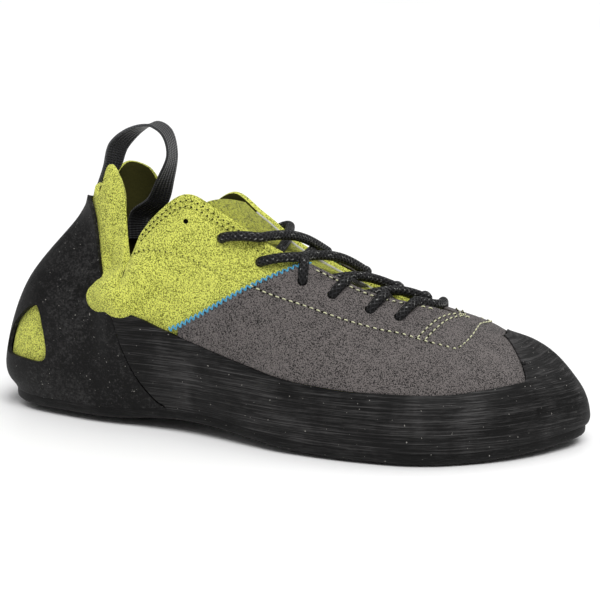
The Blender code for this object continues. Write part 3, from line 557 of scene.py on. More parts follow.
# The throat's binding
HEM_SECTIONS = (9.8, 14.1)
HEM_LEVEL = 0.992
HEM_RADIUS = 0.0007
ZIGZAG_SECTIONS = (VAMP_START - 0.3, VAMP_FULL - 0.05)
ZIGZAG_WIDTH = 0.0021
ZIGZAG_PITCH = 0.0024
ZIGZAG_PATH_STEP = ZIGZAG_PITCH / 6
ZIGZAG_RADIUS = THREAD_RADIUS * 1.2
# The zigzag's corners in one turn as shares of its width, the first one's dip as a share of the vamp's
# thickness, and the height of the thread's middle over the suede as a share of its radius
ZIGZAG_SWING = [0.5, 0, -0.5, 0]
ZIGZAG_DIP = 0.7
ZIGZAG_HEIGHT = 0.6
# The tone rows' share of the stitch pitch
GREEN_PITCH_SHARE = 0.85

# How far the lace presses into the suede and dives into its holes, its play under the throat's edge, and how
# far a slack of 1 takes a strand toward the toe, all in metres
LACE_SINK = 0.0011
LACE_HOLE_DEPTH = 0.0060
LACE_PLAY = 0.0002
LACE_SLACK = 0.004
LACE_STEP = 0.0009
LACE_SIDES = 20
# A strand: the side and number of its first eyelet and of the other side's last one, whether it goes over or
# under the edge there, how far toward the toe it crosses each edge in sections, its lift in metres
# and its slack
Strand = namedtuple("Strand", "side start start_way start_lean end end_way end_lean lift slack")
STRANDS = [
    Strand("lateral", 0, "over", 0.15, 0, "over", 0.1, -0.0006, 0.5),
    Strand("lateral", 0, "under", 0.3, 1, "under", 0.3, -0.0006, 0.2),
    Strand("medial", 0, "under", 0.3, 1, "under", 0.40, 0.0030, 0.2),
    Strand("lateral", 1, "over", 0.13, 2, "under", 0.3, -0.0006, 0.0),
    Strand("medial", 1, "over", 0.3, 2, "under", 0.40, 0.0030, 0.2),
    Strand("lateral", 2, "over", 0.13, 3, "under", 0.3, -0.0006, 0.1),
    Strand("medial", 2, "over", 0.3, 3, "under", 0.40, 0.0030, -0.1),
    Strand("lateral", 3, "over", -0.08, 4, "over", -0.05, -0.0010, -0.3),
    Strand("medial", 3, "over", 0.2, 4, "over", 0.75, 0.0034, 0.3),
    Strand("lateral", 4, "under", 0.3, 5, "over", 0.3, -0.0006, 0.2),
    Strand("medial", 4, "over", 0.2, 5, "over", 0.85, 0.0036, 0.2),
]


def folds(creases, place, level):
    """How far creases raise or sink the wall at each place."""
    points = skin_point(place, level, 0)
    total = np.zeros(place.shape)
    for crease in creases:
        line = path_on(crease.line, CREASE_POINTS)
        spots = skin_point(ring_place(crease.side, line[:, 0]), line[:, 1], 0)
        near = np.full(place.shape, np.inf)
        fade = np.zeros(place.shape)
        for index, spot in enumerate(spots):
            distance = np.linalg.norm(points - spot, axis=-1)
            closer = distance < near
            near = np.where(closer, distance, near)
            fade = np.where(closer, math.sin(math.pi * (index + 0.5) / len(spots)) ** CREASE_FADE, fade)
        total += crease.rise * fade * np.exp(-(near / crease.width) ** 2)
    return total


def upper_surface(across, level):
    """The upper's outer face, with its creases and the ankle's roll."""
    place = across * ROUND
    return skin_point(place, level, upper_rise(place, level))


def upper_rise(place, level):
    """How far the upper stands out from its plain wall. Only the ankle's roll comes out over the skins."""
    return folds(UPPER_CREASES, place, level) * clear_of_skins(place, level) + folds(ANKLE_ROLL, place, level)


def clear_of_skins(place, level):
    """1 where the upper shows, 0 where rubber or the vamp lies on it, with a soft change between."""
    section = section_of(place)
    high = wall_point(place, level)[..., 2] / COLLAR_HEIGHT
    heel, side = soft_edge(HEEL_RAND_TOP, section), soft_edge(SIDE_RAND_TOP, section)
    vamp = np.where(section > VAMP_START - 1, along_edge(VAMP_TOP, section), -1)
    cover = np.maximum(np.where(section < HEEL_COVER_END, heel, side), vamp)
    return np.clip((high - cover - COVER_MARGIN) / COVER_CHANGE, 0, 1)


def make_upper():
    """The lime upper with its lining, folds and eyelets."""
    columns, rows = UPPER_STEPS
    upper = weld(lay_grid("suede_upper", ROUND * columns, rows, upper_surface))
    # The inner faces take the lining, whose dark colour is partly painted shade
    for finish in ("green_suede", "lining"):
        upper.data.materials.append(bpy.data.materials[finish])
    thickened(upper, UPPER_WALL, RIM, 1)
    punch(upper)
    seat(upper, "green_suede", "suede_green", "upper")


def eyelets():
    """Every punched hole: its side, section and number from the toe."""
    for side in SIDES:
        for number, section in enumerate(EYELETS[side]):
            yield side, section, number


def punch(piece):
    """Cuts the round eyelet holes through a piece. The empty pair is small and doesn't go right through."""
    pegs = []
    for side, section, number in eyelets():
        place = ring_place(side, section)
        if number >= len(EYELETS[side]) - EMPTY_PAIRS:
            height, radius, depth = 2 * UPPER_WALL, EMPTY_HOLE / 2, 2 * (2 * UPPER_WALL + EMPTY_DEPTH)
        else:
            height, radius, depth = 0, EYELET_DIAMETER / 2, 6 * UPPER_WALL
        way = Vector(wall_normal(place, EYELET_LEVEL))
        bpy.ops.mesh.primitive_cylinder_add(vertices=HOLE_SIDES, radius=radius, depth=depth,
                                            location=skin_point(place, EYELET_LEVEL, height),
                                            rotation=way.to_track_quat("Z", "Y").to_euler())
        pegs.append(bpy.context.object)
    cutter = joined("eyelet_pegs", pegs)
    # The pegs give the holes' walls the dark hole colour, which is painted shade inside the holes
    for finish in (piece.data.materials[0].name, "hole_shade"):
        cutter.data.materials.append(bpy.data.materials[finish])
    cutter.data.polygons.foreach_set("material_index", [1] * len(cutter.data.polygons))
    cut(piece, cutter, material_mode="TRANSFER")


def cut(piece, cutter, **settings):
    """Takes a cutter's shape out of a piece."""
    worked(piece, "BOOLEAN", operation="DIFFERENCE", object=cutter, **settings)
    drop(cutter)


def skin_surface(side, start, end, low, high, offset, relief=None):
    """A surface for a skin between two sections of one side and two edges, at a height over the upper."""
    def surface(across, up):
        section = start + (end - start) * across
        place = ring_place(side, section) if side in SIDES else section
        floor = low(place)
        level = floor + (np.maximum(high(place), floor) - floor) * up
        return skin_point(place, level, offset + (relief(place, level) if relief else 0))
    return surface


def heel_rand_top(place):
    """The top edge of the heel rand."""
    return level_at(place, soft_edge(HEEL_RAND_TOP, section_of(place)) * COLLAR_HEIGHT)


def band_top(place):
    """The top edge of the rubber along the side of the foot."""
    return level_at(place, soft_edge(SIDE_RAND_TOP, section_of(place)) * COLLAR_HEIGHT)


def cap_top(place):
    """The top edge of the toe cap on the inner side, where it runs down into the band."""
    return np.maximum(band_top(place), soft_edge(MEDIAL_CAP, section_of(place)))


def side_rand_foot(place):
    """The lower edge of the side rand: over the heel rand first, then the sole."""
    section = section_of(place)
    seam = level_at(place, (soft_edge(HEEL_RAND_TOP, section) + SEAM_RISE) * COLLAR_HEIGHT)
    return np.where(section >= HEEL_RAND_END, 0, seam)


def cap_corner(place):
    """The lateral cap's lower corner: the band's edge, turned up softly into the cap's rear edge."""
    turn = np.clip((section_of(place) - CAP_START + CAP_TURN) / CAP_TURN, 0, 1)
    return band_top(place) + (1 - band_top(place)) * turn ** CAP_TURN_POWER


def vamp_foot(place):
    """The vamp's lower edge, just above the rubber."""
    rubber = np.where(np.asarray(place) <= TIP, band_top(place), cap_top(place))
    return level_at(place, wall_point(place, rubber)[..., 2] + VAMP_RISE)


def vamp_top(place):
    """The vamp's top edge: the seam to the quarter, then the throat and the ridge."""
    section = section_of(place)
    return np.where(section >= VAMP_FULL, 1, level_at(place, soft_edge(VAMP_TOP, section) * COLLAR_HEIGHT))


def make_vamp():
    """The grey suede over the forefoot, one sheet on both sides of the ridge."""
    columns, rows = VAMP_STEPS
    halves = []
    spans = (("lateral", VAMP_START, LATERAL_VAMP_END), ("medial", MEDIAL_VAMP_END, VAMP_START))
    for side, start, end in spans:
        surface = skin_surface(side, start, end, vamp_foot, vamp_top, SKIN_GAP + VAMP_THICKNESS, vamp_relief)
        halves.append(lay_grid("suede_vamp", round(abs(end - start) * columns), rows, surface))
    vamp = weld(joined("suede_vamp", halves))
    vamp.data.materials.append(bpy.data.materials["grey_suede"])
    thickened(vamp, VAMP_THICKNESS, RIM / 2)
    punch(vamp)
    seat(vamp, "grey_suede", "suede_grey", "vamp")


def vamp_relief(place, level):
    """How far the vamp's creases raise or sink it."""
    return folds(FOREFOOT_CREASES, place, level)


def make_side_rand():
    """The rubber band along the outer side, with the toe cap and the inner side's band."""
    columns, rows = SIDE_RAND_STEPS
    offset = SKIN_GAP + RAND_THICKNESS
    end = ROUND - SIDE_RAND_START
    band = skin_surface("lateral", SIDE_RAND_START, CAP_START, side_rand_foot, cap_corner, offset)
    cap = skin_surface("ring", CAP_START, end, side_rand_foot,
                       lambda place: np.where(place <= TIP, 1, cap_top(place)), offset)
    pieces = [lay_grid("rubber_side_rand", round((CAP_START - SIDE_RAND_START) * columns), rows, band),
              lay_grid("cap", round((end - CAP_START) * columns), rows, cap)]
    rand = weld(joined("rubber_side_rand", pieces))
    thickened(rand, RAND_THICKNESS, RIM)
    seat(rand, "side_rubber", "rubber_black", "side_rand")


def make_heel_rand():
    """The rubber sling round the heel, with a window on each side."""
    columns, rows = HEEL_RAND_STEPS
    surface = skin_surface("ring", -HEEL_RAND_END, HEEL_RAND_END, lambda place: np.zeros(place.shape),
                           heel_rand_top, SKIN_GAP + RAND_THICKNESS)
    rand = weld(lay_grid("rubber_heel_rand", round(2 * HEEL_RAND_END * columns), rows, surface))
    thickened(rand, RAND_THICKNESS, RIM)
    for side in SIDES:
        cut(rand, window_cutter(side))
    seat(rand, "heel_rubber", "rubber_black", "heel_rand")


def window_cutter(side):
    """A peg with the window's rounded outline, through the heel rand."""
    steps = 8
    ring = path_on(WINDOW + WINDOW[:3], steps * (len(WINDOW) + 2) + 1)[steps:-steps - 1]
    places = ring_place(side, ring[:, 0])
    levels = level_at(places, ring[:, 1] * COLLAR_HEIGHT)
    peg = bmesh.new()
    near, far = ([peg.verts.new(spot) for spot in skin_point(places, levels, height)]
                 for height in (0.0002, 4 * RAND_THICKNESS))
    for index in range(len(near)):
        after = (index + 1) % len(near)
        peg.faces.new([near[index], near[after], far[after], far[index]])
    peg.faces.new(near[::-1])
    peg.faces.new(far)
    bmesh.ops.recalc_face_normals(peg, faces=peg.faces)
    mesh = bpy.data.meshes.new(side + "_window")
    peg.to_mesh(mesh)
    peg.free()
    return shown(mesh)


def shown(mesh):
    """A new object of the mesh's name."""
    piece = bpy.data.objects.new(mesh.name, mesh)
    bpy.context.collection.objects.link(piece)
    return piece


class Value:
    """A node's output that takes part in sums, each of which is a Math node."""

    def __init__(self, finish, socket):
        self.finish = finish
        self.socket = socket

    def through(self, operation, other=0.0):
        return self.finish.node("ShaderNodeMath", {"operation": operation}, {0: self, 1: other})

    def __add__(self, other):
        return self.through("ADD", other)

    def __sub__(self, other):
        return self.through("SUBTRACT", other)

    def __mul__(self, other):
        return self.through("MULTIPLY", other)


class Finish:
    """A material being made: its Principled shader and the nodes that feed it."""

    def __init__(self, name, colour, roughness, constants=None):
        self.material = bpy.data.materials.new(name)
        self.material.use_nodes = True
        self.tree = self.material.node_tree
        self.shader = self.tree.nodes["Principled BSDF"]
        self.shader.inputs["Base Color"].default_value = (*colour, 1)
        self.shader.inputs["Roughness"].default_value = roughness
        for key, value in (constants or {}).items():
            self.shader.inputs[key].default_value = value

    def node(self, kind, settings=None, values=None, output=0):
        """One node: its settings first, then the numbers or links of its sockets."""
        made = self.tree.nodes.new(kind)
        for key, value in (settings or {}).items():
            setattr(made, key, value)
        for key, value in (values or {}).items():
            self.feed(made.inputs[key], value)
        return Value(self, made.outputs[output])

    def feed(self, socket, value):
        """Gives a socket a number or a link."""
        if isinstance(value, Value):
            self.tree.links.new(value.socket, socket)
        else:
            socket.default_value = value

    def paint(self, socket, value):
        """Gives the shader's socket a number or a link."""
        self.feed(self.shader.inputs[socket], value)

    def place(self, kind="Object", stretch=(1, 1, 1)):
        """The place on the piece in metres, or along and up its sheet, stretched for long grain."""
        spot = self.node("ShaderNodeTexCoord", output=kind)
        return self.node("ShaderNodeVectorMath", {"operation": "MULTIPLY"}, {0: spot, 1: stretch})

    def noise(self, spot, size, detail, roughness=0.5, distortion=0.0):
        """Noise from 0 to 1 whose lumps are about size metres across."""
        values = {"Vector": spot, "Scale": 1 / size, "Detail": detail, "Roughness": roughness,
                  "Distortion": distortion}
        return self.node("ShaderNodeTexNoise", {}, values)

    def between(self, value, low, high, to_low=0.0, to_high=1.0):
        """A value spread from low..high to another range, with soft ends."""
        values = {"Value": value, "From Min": low, "From Max": high, "To Min": to_low, "To Max": to_high}
        return self.node("ShaderNodeMapRange", {"interpolation_type": "SMOOTHSTEP"}, values)

    def mix(self, share, one, other):
        """A colour between two colours."""
        def colour(value):
            return value if isinstance(value, Value) else (*value, 1)
        inputs = {0: share, 6: colour(one), 7: colour(other)}
        return self.node("ShaderNodeMix", {"data_type": "RGBA"}, inputs, 2)

    def part(self, spot, axis):
        """One axis of a place."""
        return self.node("ShaderNodeSeparateXYZ", {}, {0: spot}, axis)

    def bump(self, height, depth, strength=1.0, under=None):
        """A normal for a relief of a depth in metres, over another one."""
        values = {"Height": height, "Distance": depth, "Strength": strength}
        if under:
            values["Normal"] = under
        return self.node("ShaderNodeBump", {}, values)


def suede(name, pale, depth, tuft_size, nap_depth):
    """Napped leather: soft patches where the nap lies over, and fine tufts with darker ground between."""
    sheen = {"Sheen Weight": 0.1, "Sheen Roughness": 0.5, "Specular IOR Level": 0.08}
    finish = Finish(name, pale, 0.95, sheen)
    spot = finish.place()
    patch = finish.noise(spot, NAP_PATCH, 3, 0.6, 0.6)
    tuft = finish.noise(spot, tuft_size, 3, 0.65, 0.3)
    shade = finish.between(patch * 0.12 + tuft * 0.88, 0.42, 0.535)
    finish.paint("Base Color", finish.mix(shade, shaded(pale, depth), pale))
    finish.paint("Roughness", finish.between(tuft, 0.3, 0.7, 0.85, 1.0))
    nap = finish.bump(tuft, nap_depth * 1.2)
    finish.paint("Normal", finish.bump(patch, nap_depth * 1.5, 0.5, nap))


def sanded_rubber(name, colour, bloom_and_shade, stretch):
    """Black rubber, buffed in fine strokes of a stretch, with a greyish bloom and a few specks of dust. Each
    piece's share of the grey is partly painted shade: less on the heel and the sole.
    """
    finish = Finish(name, colour, 0.6, {"Specular IOR Level": 0.13})
    spot = finish.place()
    stroke = finish.noise(finish.place("Object", stretch), BUFFING, 4, 0.75, 0.2)
    fine = finish.noise(finish.place("Object", shaded(stretch, 2.2)), BUFFING, 3, 0.8)
    patch = finish.noise(spot, BLOOM_PATCH, 4, 0.6, 0.5)
    grey = finish.between(stroke * 0.36 + fine * 0.44 + patch * 0.20, 0.46, 0.64)
    speck = finish.between(finish.noise(spot, DUST, 1, 0.4), 0.765, 0.79)
    strokes = stroke * 0.5 + fine * 0.5
    # The grey's share for each piece is partly painted shade
    rubber = finish.mix(grey, colour, shaded(RUBBER_BLOOM, bloom_and_shade))
    finish.paint("Base Color", finish.mix(speck, rubber, DUST_COLOUR))
    finish.paint("Roughness", finish.between(strokes, 0.35, 0.65, 0.42, 0.68))
    finish.paint("Normal", finish.bump(strokes, 0.00030, 0.9))


def braided_cord(name, colour, highlight_colour):
    """Round braid: two sets of slanting strands, painted darker in the grooves between them as shade, with
    pale painted highlights on some strand tops.
    """
    finish = Finish(name, colour, 0.6, {"Specular IOR Level": 0.28})
    spot = finish.place("UV")
    along = finish.part(spot, 0) * (math.tau / BRAID_PITCH)
    around = finish.part(spot, 1) * BRAID_ROUND
    strand = (along + around).through("SINE").through("MAXIMUM", (along - around).through("SINE"))
    height = finish.between(strand, -0.1, 1)
    # Pale glints on the strand tops are painted highlights
    glint = finish.between(finish.noise(spot, 0.0011, 1, 0.4), 0.62, 0.70) * height
    # The grooves between the strands are painted near black: painted shade
    cord = finish.mix(height, (0.001, 0.001, 0.001), colour)
    finish.paint("Base Color", finish.mix(glint * 0.55, cord, highlight_colour))
    finish.paint("Roughness", finish.between(height, 0, 1, 0.8, 0.38))
    finish.paint("Normal", finish.bump(height, 0.0005, 0.9))


def woven_webbing(name, colour, edge_colour):
    """Flat webbing: ribs across it and a thicker, paler yarn along both edges."""
    finish = Finish(name, colour, 0.45, {"Sheen Weight": 0.2, "Sheen Roughness": 0.4})
    spot = finish.place("UV")
    across = finish.part(spot, 1)
    rib = (finish.part(spot, 0) * (math.tau / WEBBING_RIB)).through("SINE")
    yarn = (across * (math.tau / WEBBING_YARN)).through("SINE")
    from_middle = (across - WEBBING_WIDTH / 2).through("ABSOLUTE")
    edge = finish.between(from_middle, WEBBING_WIDTH * 0.36, WEBBING_WIDTH * 0.43)
    weave = rib * 0.35 + yarn * 0.35 + 0.5
    cloth = finish.mix(weave, (0.006, 0.006, 0.007), colour)
    finish.paint("Base Color", finish.mix(edge * 0.8, cloth, edge_colour))
    finish.paint("Roughness", finish.between(weave, 0, 1, 0.6, 0.36))
    finish.paint("Normal", finish.bump(weave, 0.0003, 0.8))


def plain_thread(name, colour):
    """Twisted sewing thread."""
    finish = Finish(name, colour, 0.7, {"Sheen Weight": 0.2})
    fibre = finish.noise(finish.place(), 0.0004, 2, 0.6)
    finish.paint("Base Color", finish.mix(finish.between(fibre, 0.3, 0.7), shaded(colour, 0.62), colour))
    finish.paint("Normal", finish.bump(fibre, 0.0002, 0.7))


def footbed_leather(name, pale, deep):
    """Smooth split leather, darker where the foot presses."""
    finish = Finish(name, pale, 0.75, {"Specular IOR Level": 0.3})
    spot = finish.place()
    grain = finish.noise(spot, 0.0012, 4, 0.6)
    press = finish.noise(spot, 0.03, 3)
    finish.paint("Base Color", finish.mix(finish.between(press * 0.6 + grain * 0.4, 0.35, 0.65), deep, pale))
    finish.paint("Normal", finish.bump(grain, 0.0002, 0.6))


def stage_floor(name, colour):
    """A pale, slightly uneven sheen."""
    finish = Finish(name, colour, 0.35, {"Specular IOR Level": 0.3})
    finish.paint("Roughness", finish.between(finish.noise(finish.place(), 0.3, 2), 0.3, 0.7, 0.3, 0.4))


def only(piece):
    """Selects one piece and makes it the active one."""
    bpy.ops.object.select_all(action="DESELECT")
    piece.select_set(True)
    bpy.context.view_layer.objects.active = piece


def lay_grid(name, columns, rows, surface):
    """A grid laid over a surface, which takes shares across and up. Its UV is in metres, along and up."""
    bpy.ops.object.select_all(action="DESELECT")
    bpy.ops.mesh.primitive_grid_add(x_subdivisions=columns, y_subdivisions=rows, size=1)
    piece = bpy.context.object
    piece.name = name
    mesh = piece.data
    mesh.name = name
    spots = np.empty(len(mesh.vertices) * 3, np.float32)
    mesh.vertices.foreach_get("co", spots)
    spots = spots.reshape(-1, 3)
    column = np.rint((spots[:, 0] + 0.5) * columns).astype(int)
    row = np.rint((spots[:, 1] + 0.5) * rows).astype(int)
    across, up = np.meshgrid(np.linspace(0, 1, columns + 1), np.linspace(0, 1, rows + 1))
    points = surface(across, up)
    mesh.vertices.foreach_set("co", points[row, column].astype(np.float32).ravel())
    along = np.broadcast_to(run_lengths(points, 1).mean(0), across.shape)
    lengths = np.stack([along, run_lengths(points, 0)], -1)
    corners = np.empty(len(mesh.loops), int)
    mesh.loops.foreach_get("vertex_index", corners)
    mesh.uv_layers.active.data.foreach_set("uv", lengths[row, column][corners].astype(np.float32).ravel())
    mesh.update()
    return piece


def weld(piece):
    """Merges the corners that meet, and drops faces of no size."""
    only(piece)
    bpy.ops.object.mode_set(mode="EDIT")
    bpy.ops.mesh.select_all(action="SELECT")
    bpy.ops.mesh.remove_doubles(threshold=WELD_DISTANCE)
    bpy.ops.mesh.dissolve_degenerate(threshold=WELD_DISTANCE / 4)
    bpy.ops.mesh.delete_loose()
    bpy.ops.object.mode_set(mode="OBJECT")
    return piece


def worked(piece, kind, **settings):
    """Applies one modifier to a piece."""
    only(piece)
    tool = piece.modifiers.new(kind.title(), kind)
    for key, value in settings.items():
        setattr(tool, key, value)
    bpy.ops.object.modifier_apply(modifier=tool.name)


def thickened(piece, thickness, rim, inside=0):
    """A sheet given its thickness inwards, with rounded rims. The inner faces may take another finish."""
    worked(piece, "SOLIDIFY", thickness=thickness, offset=-1, material_offset=inside)
    worked(piece, "BEVEL", width=rim, segments=2, limit_method="ANGLE", angle_limit=RIM_ANGLE)


def joined(name, pieces):
    """Several pieces as one."""
    bpy.ops.object.select_all(action="DESELECT")
    for piece in pieces:
        piece.select_set(True)
    bpy.context.view_layer.objects.active = pieces[0]
    if len(pieces) > 1:
        bpy.ops.object.join()
    pieces[0].name = name
    return pieces[0]


def drop(piece):
    """Deletes a piece and its mesh."""
    mesh = piece.data
    bpy.data.objects.remove(piece)
    bpy.data.meshes.remove(mesh)


def seat(piece, finish, slot, *nodes):
    """Gives a piece its finish, smooth faces and its place in the frame."""
    if not piece.data.materials:
        piece.data.materials.append(bpy.data.materials[finish])
    only(piece)
    bpy.ops.object.shade_smooth_by_angle(angle=SMOOTH_ANGLE)
    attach(piece, BODY)
    if nodes:
        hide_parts(*nodes)


def cord_frames(path):
    """Two cross directions along a line, which turn as little as they can."""
    tangents = unit(np.gradient(path, axis=0))
    sides = []
    side = np.cross(tangents[0], [0, 0, 1])
    if np.linalg.norm(side) < 0.1:
        side = np.cross(tangents[0], [0, 1, 0])
    for tangent in tangents:
        side = unit(side - tangent * (side @ tangent))
        sides.append(side)
    return np.array(sides), np.cross(tangents, sides)


def tube(name, path, radius, sides):
    """A round cord along a line, with round closed ends. Its UV runs along and round it."""
    side, up = cord_frames(path)
    lengths = run_lengths(path)
    ends = np.minimum(lengths, lengths[-1] - lengths) / radius
    swell = np.sqrt(np.clip(1 - np.clip(1 - ends, 0, 1) ** 2, 0, 1))

    def surface(across, around):
        column = np.rint(across * (len(path) - 1)).astype(int)
        turn = -math.tau * around[..., None]
        way = side[column] * np.cos(turn) + up[column] * np.sin(turn)
        return path[column] + way * (radius * swell[column])[..., None]
    return weld(lay_grid(name, len(path) - 1, sides, surface))


def chord_point(section, share, margin, height):
    """A point over the sole, between the two feather edges moved out by a margin, as in the part's source."""
    feet, ends = [], []
    for side in SIDES:
        place = ring_place(side, section)
        spine = np.stack([last_value("spine_x", place), last_value("spine_y", place)], -1)
        foot = np.stack([last_value("foot_x", place), last_value("foot_y", place)], -1)
        feet.append(foot)
        ends.append(foot + unit(foot - spine) * margin[..., None])
    half = np.maximum(np.linalg.norm(feet[1] - feet[0], axis=-1) / 2, SOLE_THICKNESS)
    across = np.minimum(1, np.abs(2 * share - 1) * (half + margin) / half)
    edge = np.maximum(0, (across - FLAT_SHARE) / (1 - FLAT_SHARE)) ** 2
    middle_lift, edge_lift = last_value("sole_lift", section), last_value("edge_lift", section)
    flat = ends[0] + (ends[1] - ends[0]) * share[..., None]
    lift = SOLE_THICKNESS + middle_lift + (edge_lift - middle_lift) * edge + height
    return np.stack([flat[..., 0], flat[..., 1], lift], -1) + FRAME_SHIFT


def make_plate(name, profile, columns, rows):
    """A closed plate under the foot. profile turns shares round its section into share, margin and height."""
    def surface(across, up):
        return chord_point(across * TIP, *profile(up))
    return recalculate(weld(lay_grid(name, columns, rows, surface)))


def plate_profile(margin, low, high, top_round, low_round, steps):
    """The cross-section of a plate: over its top from side to side, round its edge and back underneath."""
    turns = [(1 - math.sin(turn), 1 - math.cos(turn)) for turn in np.radians([0, 22.5, 45, 67.5, 90])]
    edge = [(1, margin - top_round * sine, high - top_round * cosine) for sine, cosine in turns]
    edge += [(1, margin - low_round * cosine, low + low_round * sine) for sine, cosine in turns]
    line = [(share, margin - top_round, high) for share in np.linspace(0, 1, steps)[:-1]] + edge
    line += [(share, margin - low_round, low) for share in np.linspace(1, 0, steps)[1:-1]]
    line += [(0, out, height) for _, out, height in edge[::-1]]
    spots = np.linspace(0, 1, len(line))
    return lambda up: [np.interp(up, spots, column) for column in zip(*line)], len(line) - 1


def make_outsole():
    """The full-length sole, flush with the rands."""
    columns, steps = OUTSOLE_STEPS
    profile, rows = plate_profile(SKIN_GAP + RAND_THICKNESS, -SOLE_THICKNESS, SEAT_GAP, SOLE_TOP_ROUND,
                                  SOLE_ROUND, steps)
    seat(make_plate("rubber_outsole", profile, TIP * columns, rows), "sole_rubber", "rubber_black", "outsole")


def make_insole():
    """The footbed inside the upper."""
    columns, steps = INSOLE_STEPS
    profile, rows = plate_profile(-UPPER_WALL - INSOLE_SIDE_GAP, INSOLE_GAP, INSOLE_GAP + INSOLE_THICKNESS,
                                  INSOLE_ROUND, INSOLE_ROUND, steps)
    seat(make_plate("footbed", profile, TIP * columns, rows), "footbed_leather", "footbed", "insole")


def recalculate(piece):
    """Turns the faces of a closed piece outwards."""
    only(piece)
    bpy.ops.object.mode_set(mode="EDIT")
    bpy.ops.mesh.select_all(action="SELECT")
    bpy.ops.mesh.normals_make_consistent(inside=False)
    bpy.ops.object.mode_set(mode="OBJECT")
    return piece


def throat_row(section, depth):
    """Rows of points across the throat at sections: under one edge, arched over, under the other."""
    left, right = ([throat_point(side, section, level, -depth) for level in TONGUE_TUCK] for side in SIDES)
    return left + bridge(left, right, TONGUE_ARCH) + right[::-1]


def bridge(left, right, steps):
    """Points between the ends of two lines, which leave one and arrive at the other in their ways."""
    before, start, end, after = left[-2], left[-1], right[-1], right[-2]
    points = []
    for step in range(1, steps):
        share = step / steps
        lift = (start - before) * (1 - share) + (end - after) * share
        points.append(start + (end - start) * share + lift * (share * (1 - share) * BRIDGE_LIFT))
    return points


def make_tongue():
    """The padded leaf under the throat, slightly rippled."""
    def surface(across, up):
        section = TONGUE_START + (TONGUE_END - TONGUE_START) * across[0]
        rows = np.array(throat_row(section, UPPER_WALL + TONGUE_GAP))
        share = up[:, 0] * (len(rows) - 1)
        step = np.minimum(share.astype(int), len(rows) - 2)
        part = (share - step)[:, None, None]
        points = rows[step] * (1 - part) + rows[step + 1] * part
        points[..., 2] += TONGUE_RIPPLE * np.sin(across * TONGUE_RIPPLE_TURN) * np.sin(up * math.pi) ** 2
        return points
    tongue = lay_grid("suede_tongue", *TONGUE_STEPS, surface)
    thickened(tongue, TONGUE_THICKNESS, RIM * 2)
    seat(tongue, "tongue_suede_and_shade", "suede_green", "tongue")


def throat_point(side, section, level, offset):
    """A point over or under one side's wall."""
    return skin_point(ring_place(side, section), level, offset)


def strand_path(strand):
    """A lace strand from an eyelet on one side to one on the other."""
    other = "medial" if strand.side == "lateral" else "lateral"
    radius = LACE_DIAMETER / 2
    over = SKIN_GAP + VAMP_THICKNESS + radius - LACE_SINK
    under = -UPPER_WALL - radius - LACE_PLAY
    legs = []
    for side, number, way, lean in ((strand.side, strand.start, strand.start_way, strand.start_lean),
                                    (other, strand.end, strand.end_way, strand.end_lean)):
        eyelet = EYELETS[side][number]
        # Shares of the lean, levels and heights of the leg's points, up to the throat's edge
        if way == "over":
            spots = [(0, EYELET_LEVEL, -LACE_HOLE_DEPTH), (0, EYELET_LEVEL, 0),
                     (0.2, EYELET_LEVEL + 0.02, over * 0.8), (0.6, 0.96, over + 0.0006), (1, 1, over)]
        else:
            spots = [(0.5, 0.94, under - 0.0012), (1, 1, under)]
        legs.append([throat_point(side, eyelet + lean * share, level, height)
                     for share, level, height in spots])
    left, right = legs
    arch = bridge(left, right, STRAND_ARCH)
    for index, share in enumerate(np.linspace(0, 1, len(arch) + 2)[1:-1]):
        hump = math.sin(math.pi * share)
        arch[index] = arch[index] + np.array([hump * strand.slack * LACE_SLACK, 0, hump * strand.lift])
    return path_on(left + arch + right[::-1], STRAND_STEPS)


def make_lace():
    """The lace through the eyelets: a bar at the toe end and crossed strands behind it."""
    pieces = []
    for number, strand in enumerate(STRANDS):
        path = evenly(strand_path(strand), LACE_STEP)
        pieces.append(tube("strand_%02d" % number, path, LACE_DIAMETER / 2, LACE_SIDES))
    seat(joined("lace_cord", pieces), "black_cord", "lace_cord", "lace")


def make_throat_hem():
    """The pale binding inside both edges of the throat."""
    pieces = []
    for side in SIDES:
        sections = np.linspace(*HEM_SECTIONS, HEM_STEPS)
        path = evenly(throat_point(side, sections, HEM_LEVEL, -UPPER_WALL - HEM_RADIUS * 0.6), HEM_RADIUS)
        pieces.append(tube("hem_" + side, path, HEM_RADIUS, HEM_SIDES))
    seat(joined("throat_hem", pieces), "hem_thread", "suede_grey")


def make_pull_loop():
    """The webbing loop from behind the heel, over the collar and down inside the inner ear."""
    offset = SKIN_GAP + WEBBING_THICKNESS / 2
    rows = [[*skin_point(0.0, level_at(0.0, high * COLLAR_HEIGHT), offset), 90] for high in LOOP_SEAT]
    for fold in LOOP_FOLDS:
        spot = np.array([fold.x * LENGTH, fold.y * HEEL_WIDTH / 2, fold.z * COLLAR_HEIGHT]) + FRAME_SHIFT
        rows.append([*spot, fold.turn])
    place = float(ring_place("medial", LOOP_TUCK_SECTION))
    for level in LOOP_TUCK:
        out = wall_normal(place, level)
        spot = skin_point(place, level, -(UPPER_WALL + LOOP_TUCK_GAP + offset))
        rows.append([*spot, math.degrees(math.atan2(-out[0], out[1]))])
    line = path_on(rows, LOOP_STEPS)
    points, turns = line[:, :3], np.radians(line[:, 3])
    runs = unit(np.gradient(points, axis=0))
    width = np.stack([np.cos(turns), np.sin(turns), np.zeros(len(turns))], -1)
    width = unit(width - runs * (width * runs).sum(-1)[:, None])
    out = unit(np.cross(width, runs))

    def surface(across, up):
        column = np.rint(across * (len(points) - 1)).astype(int)
        side = (up - 0.5)[..., None] * WEBBING_WIDTH
        return points[column] + width[column] * side + out[column] * WEBBING_THICKNESS / 2
    loop = lay_grid("webbing_pull_loop", len(points) - 1, LOOP_ROWS, surface)
    thickened(loop, WEBBING_THICKNESS, WEBBING_RIM)
    seat(recalculate(loop), "black_webbing", "webbing", "pull_loop")


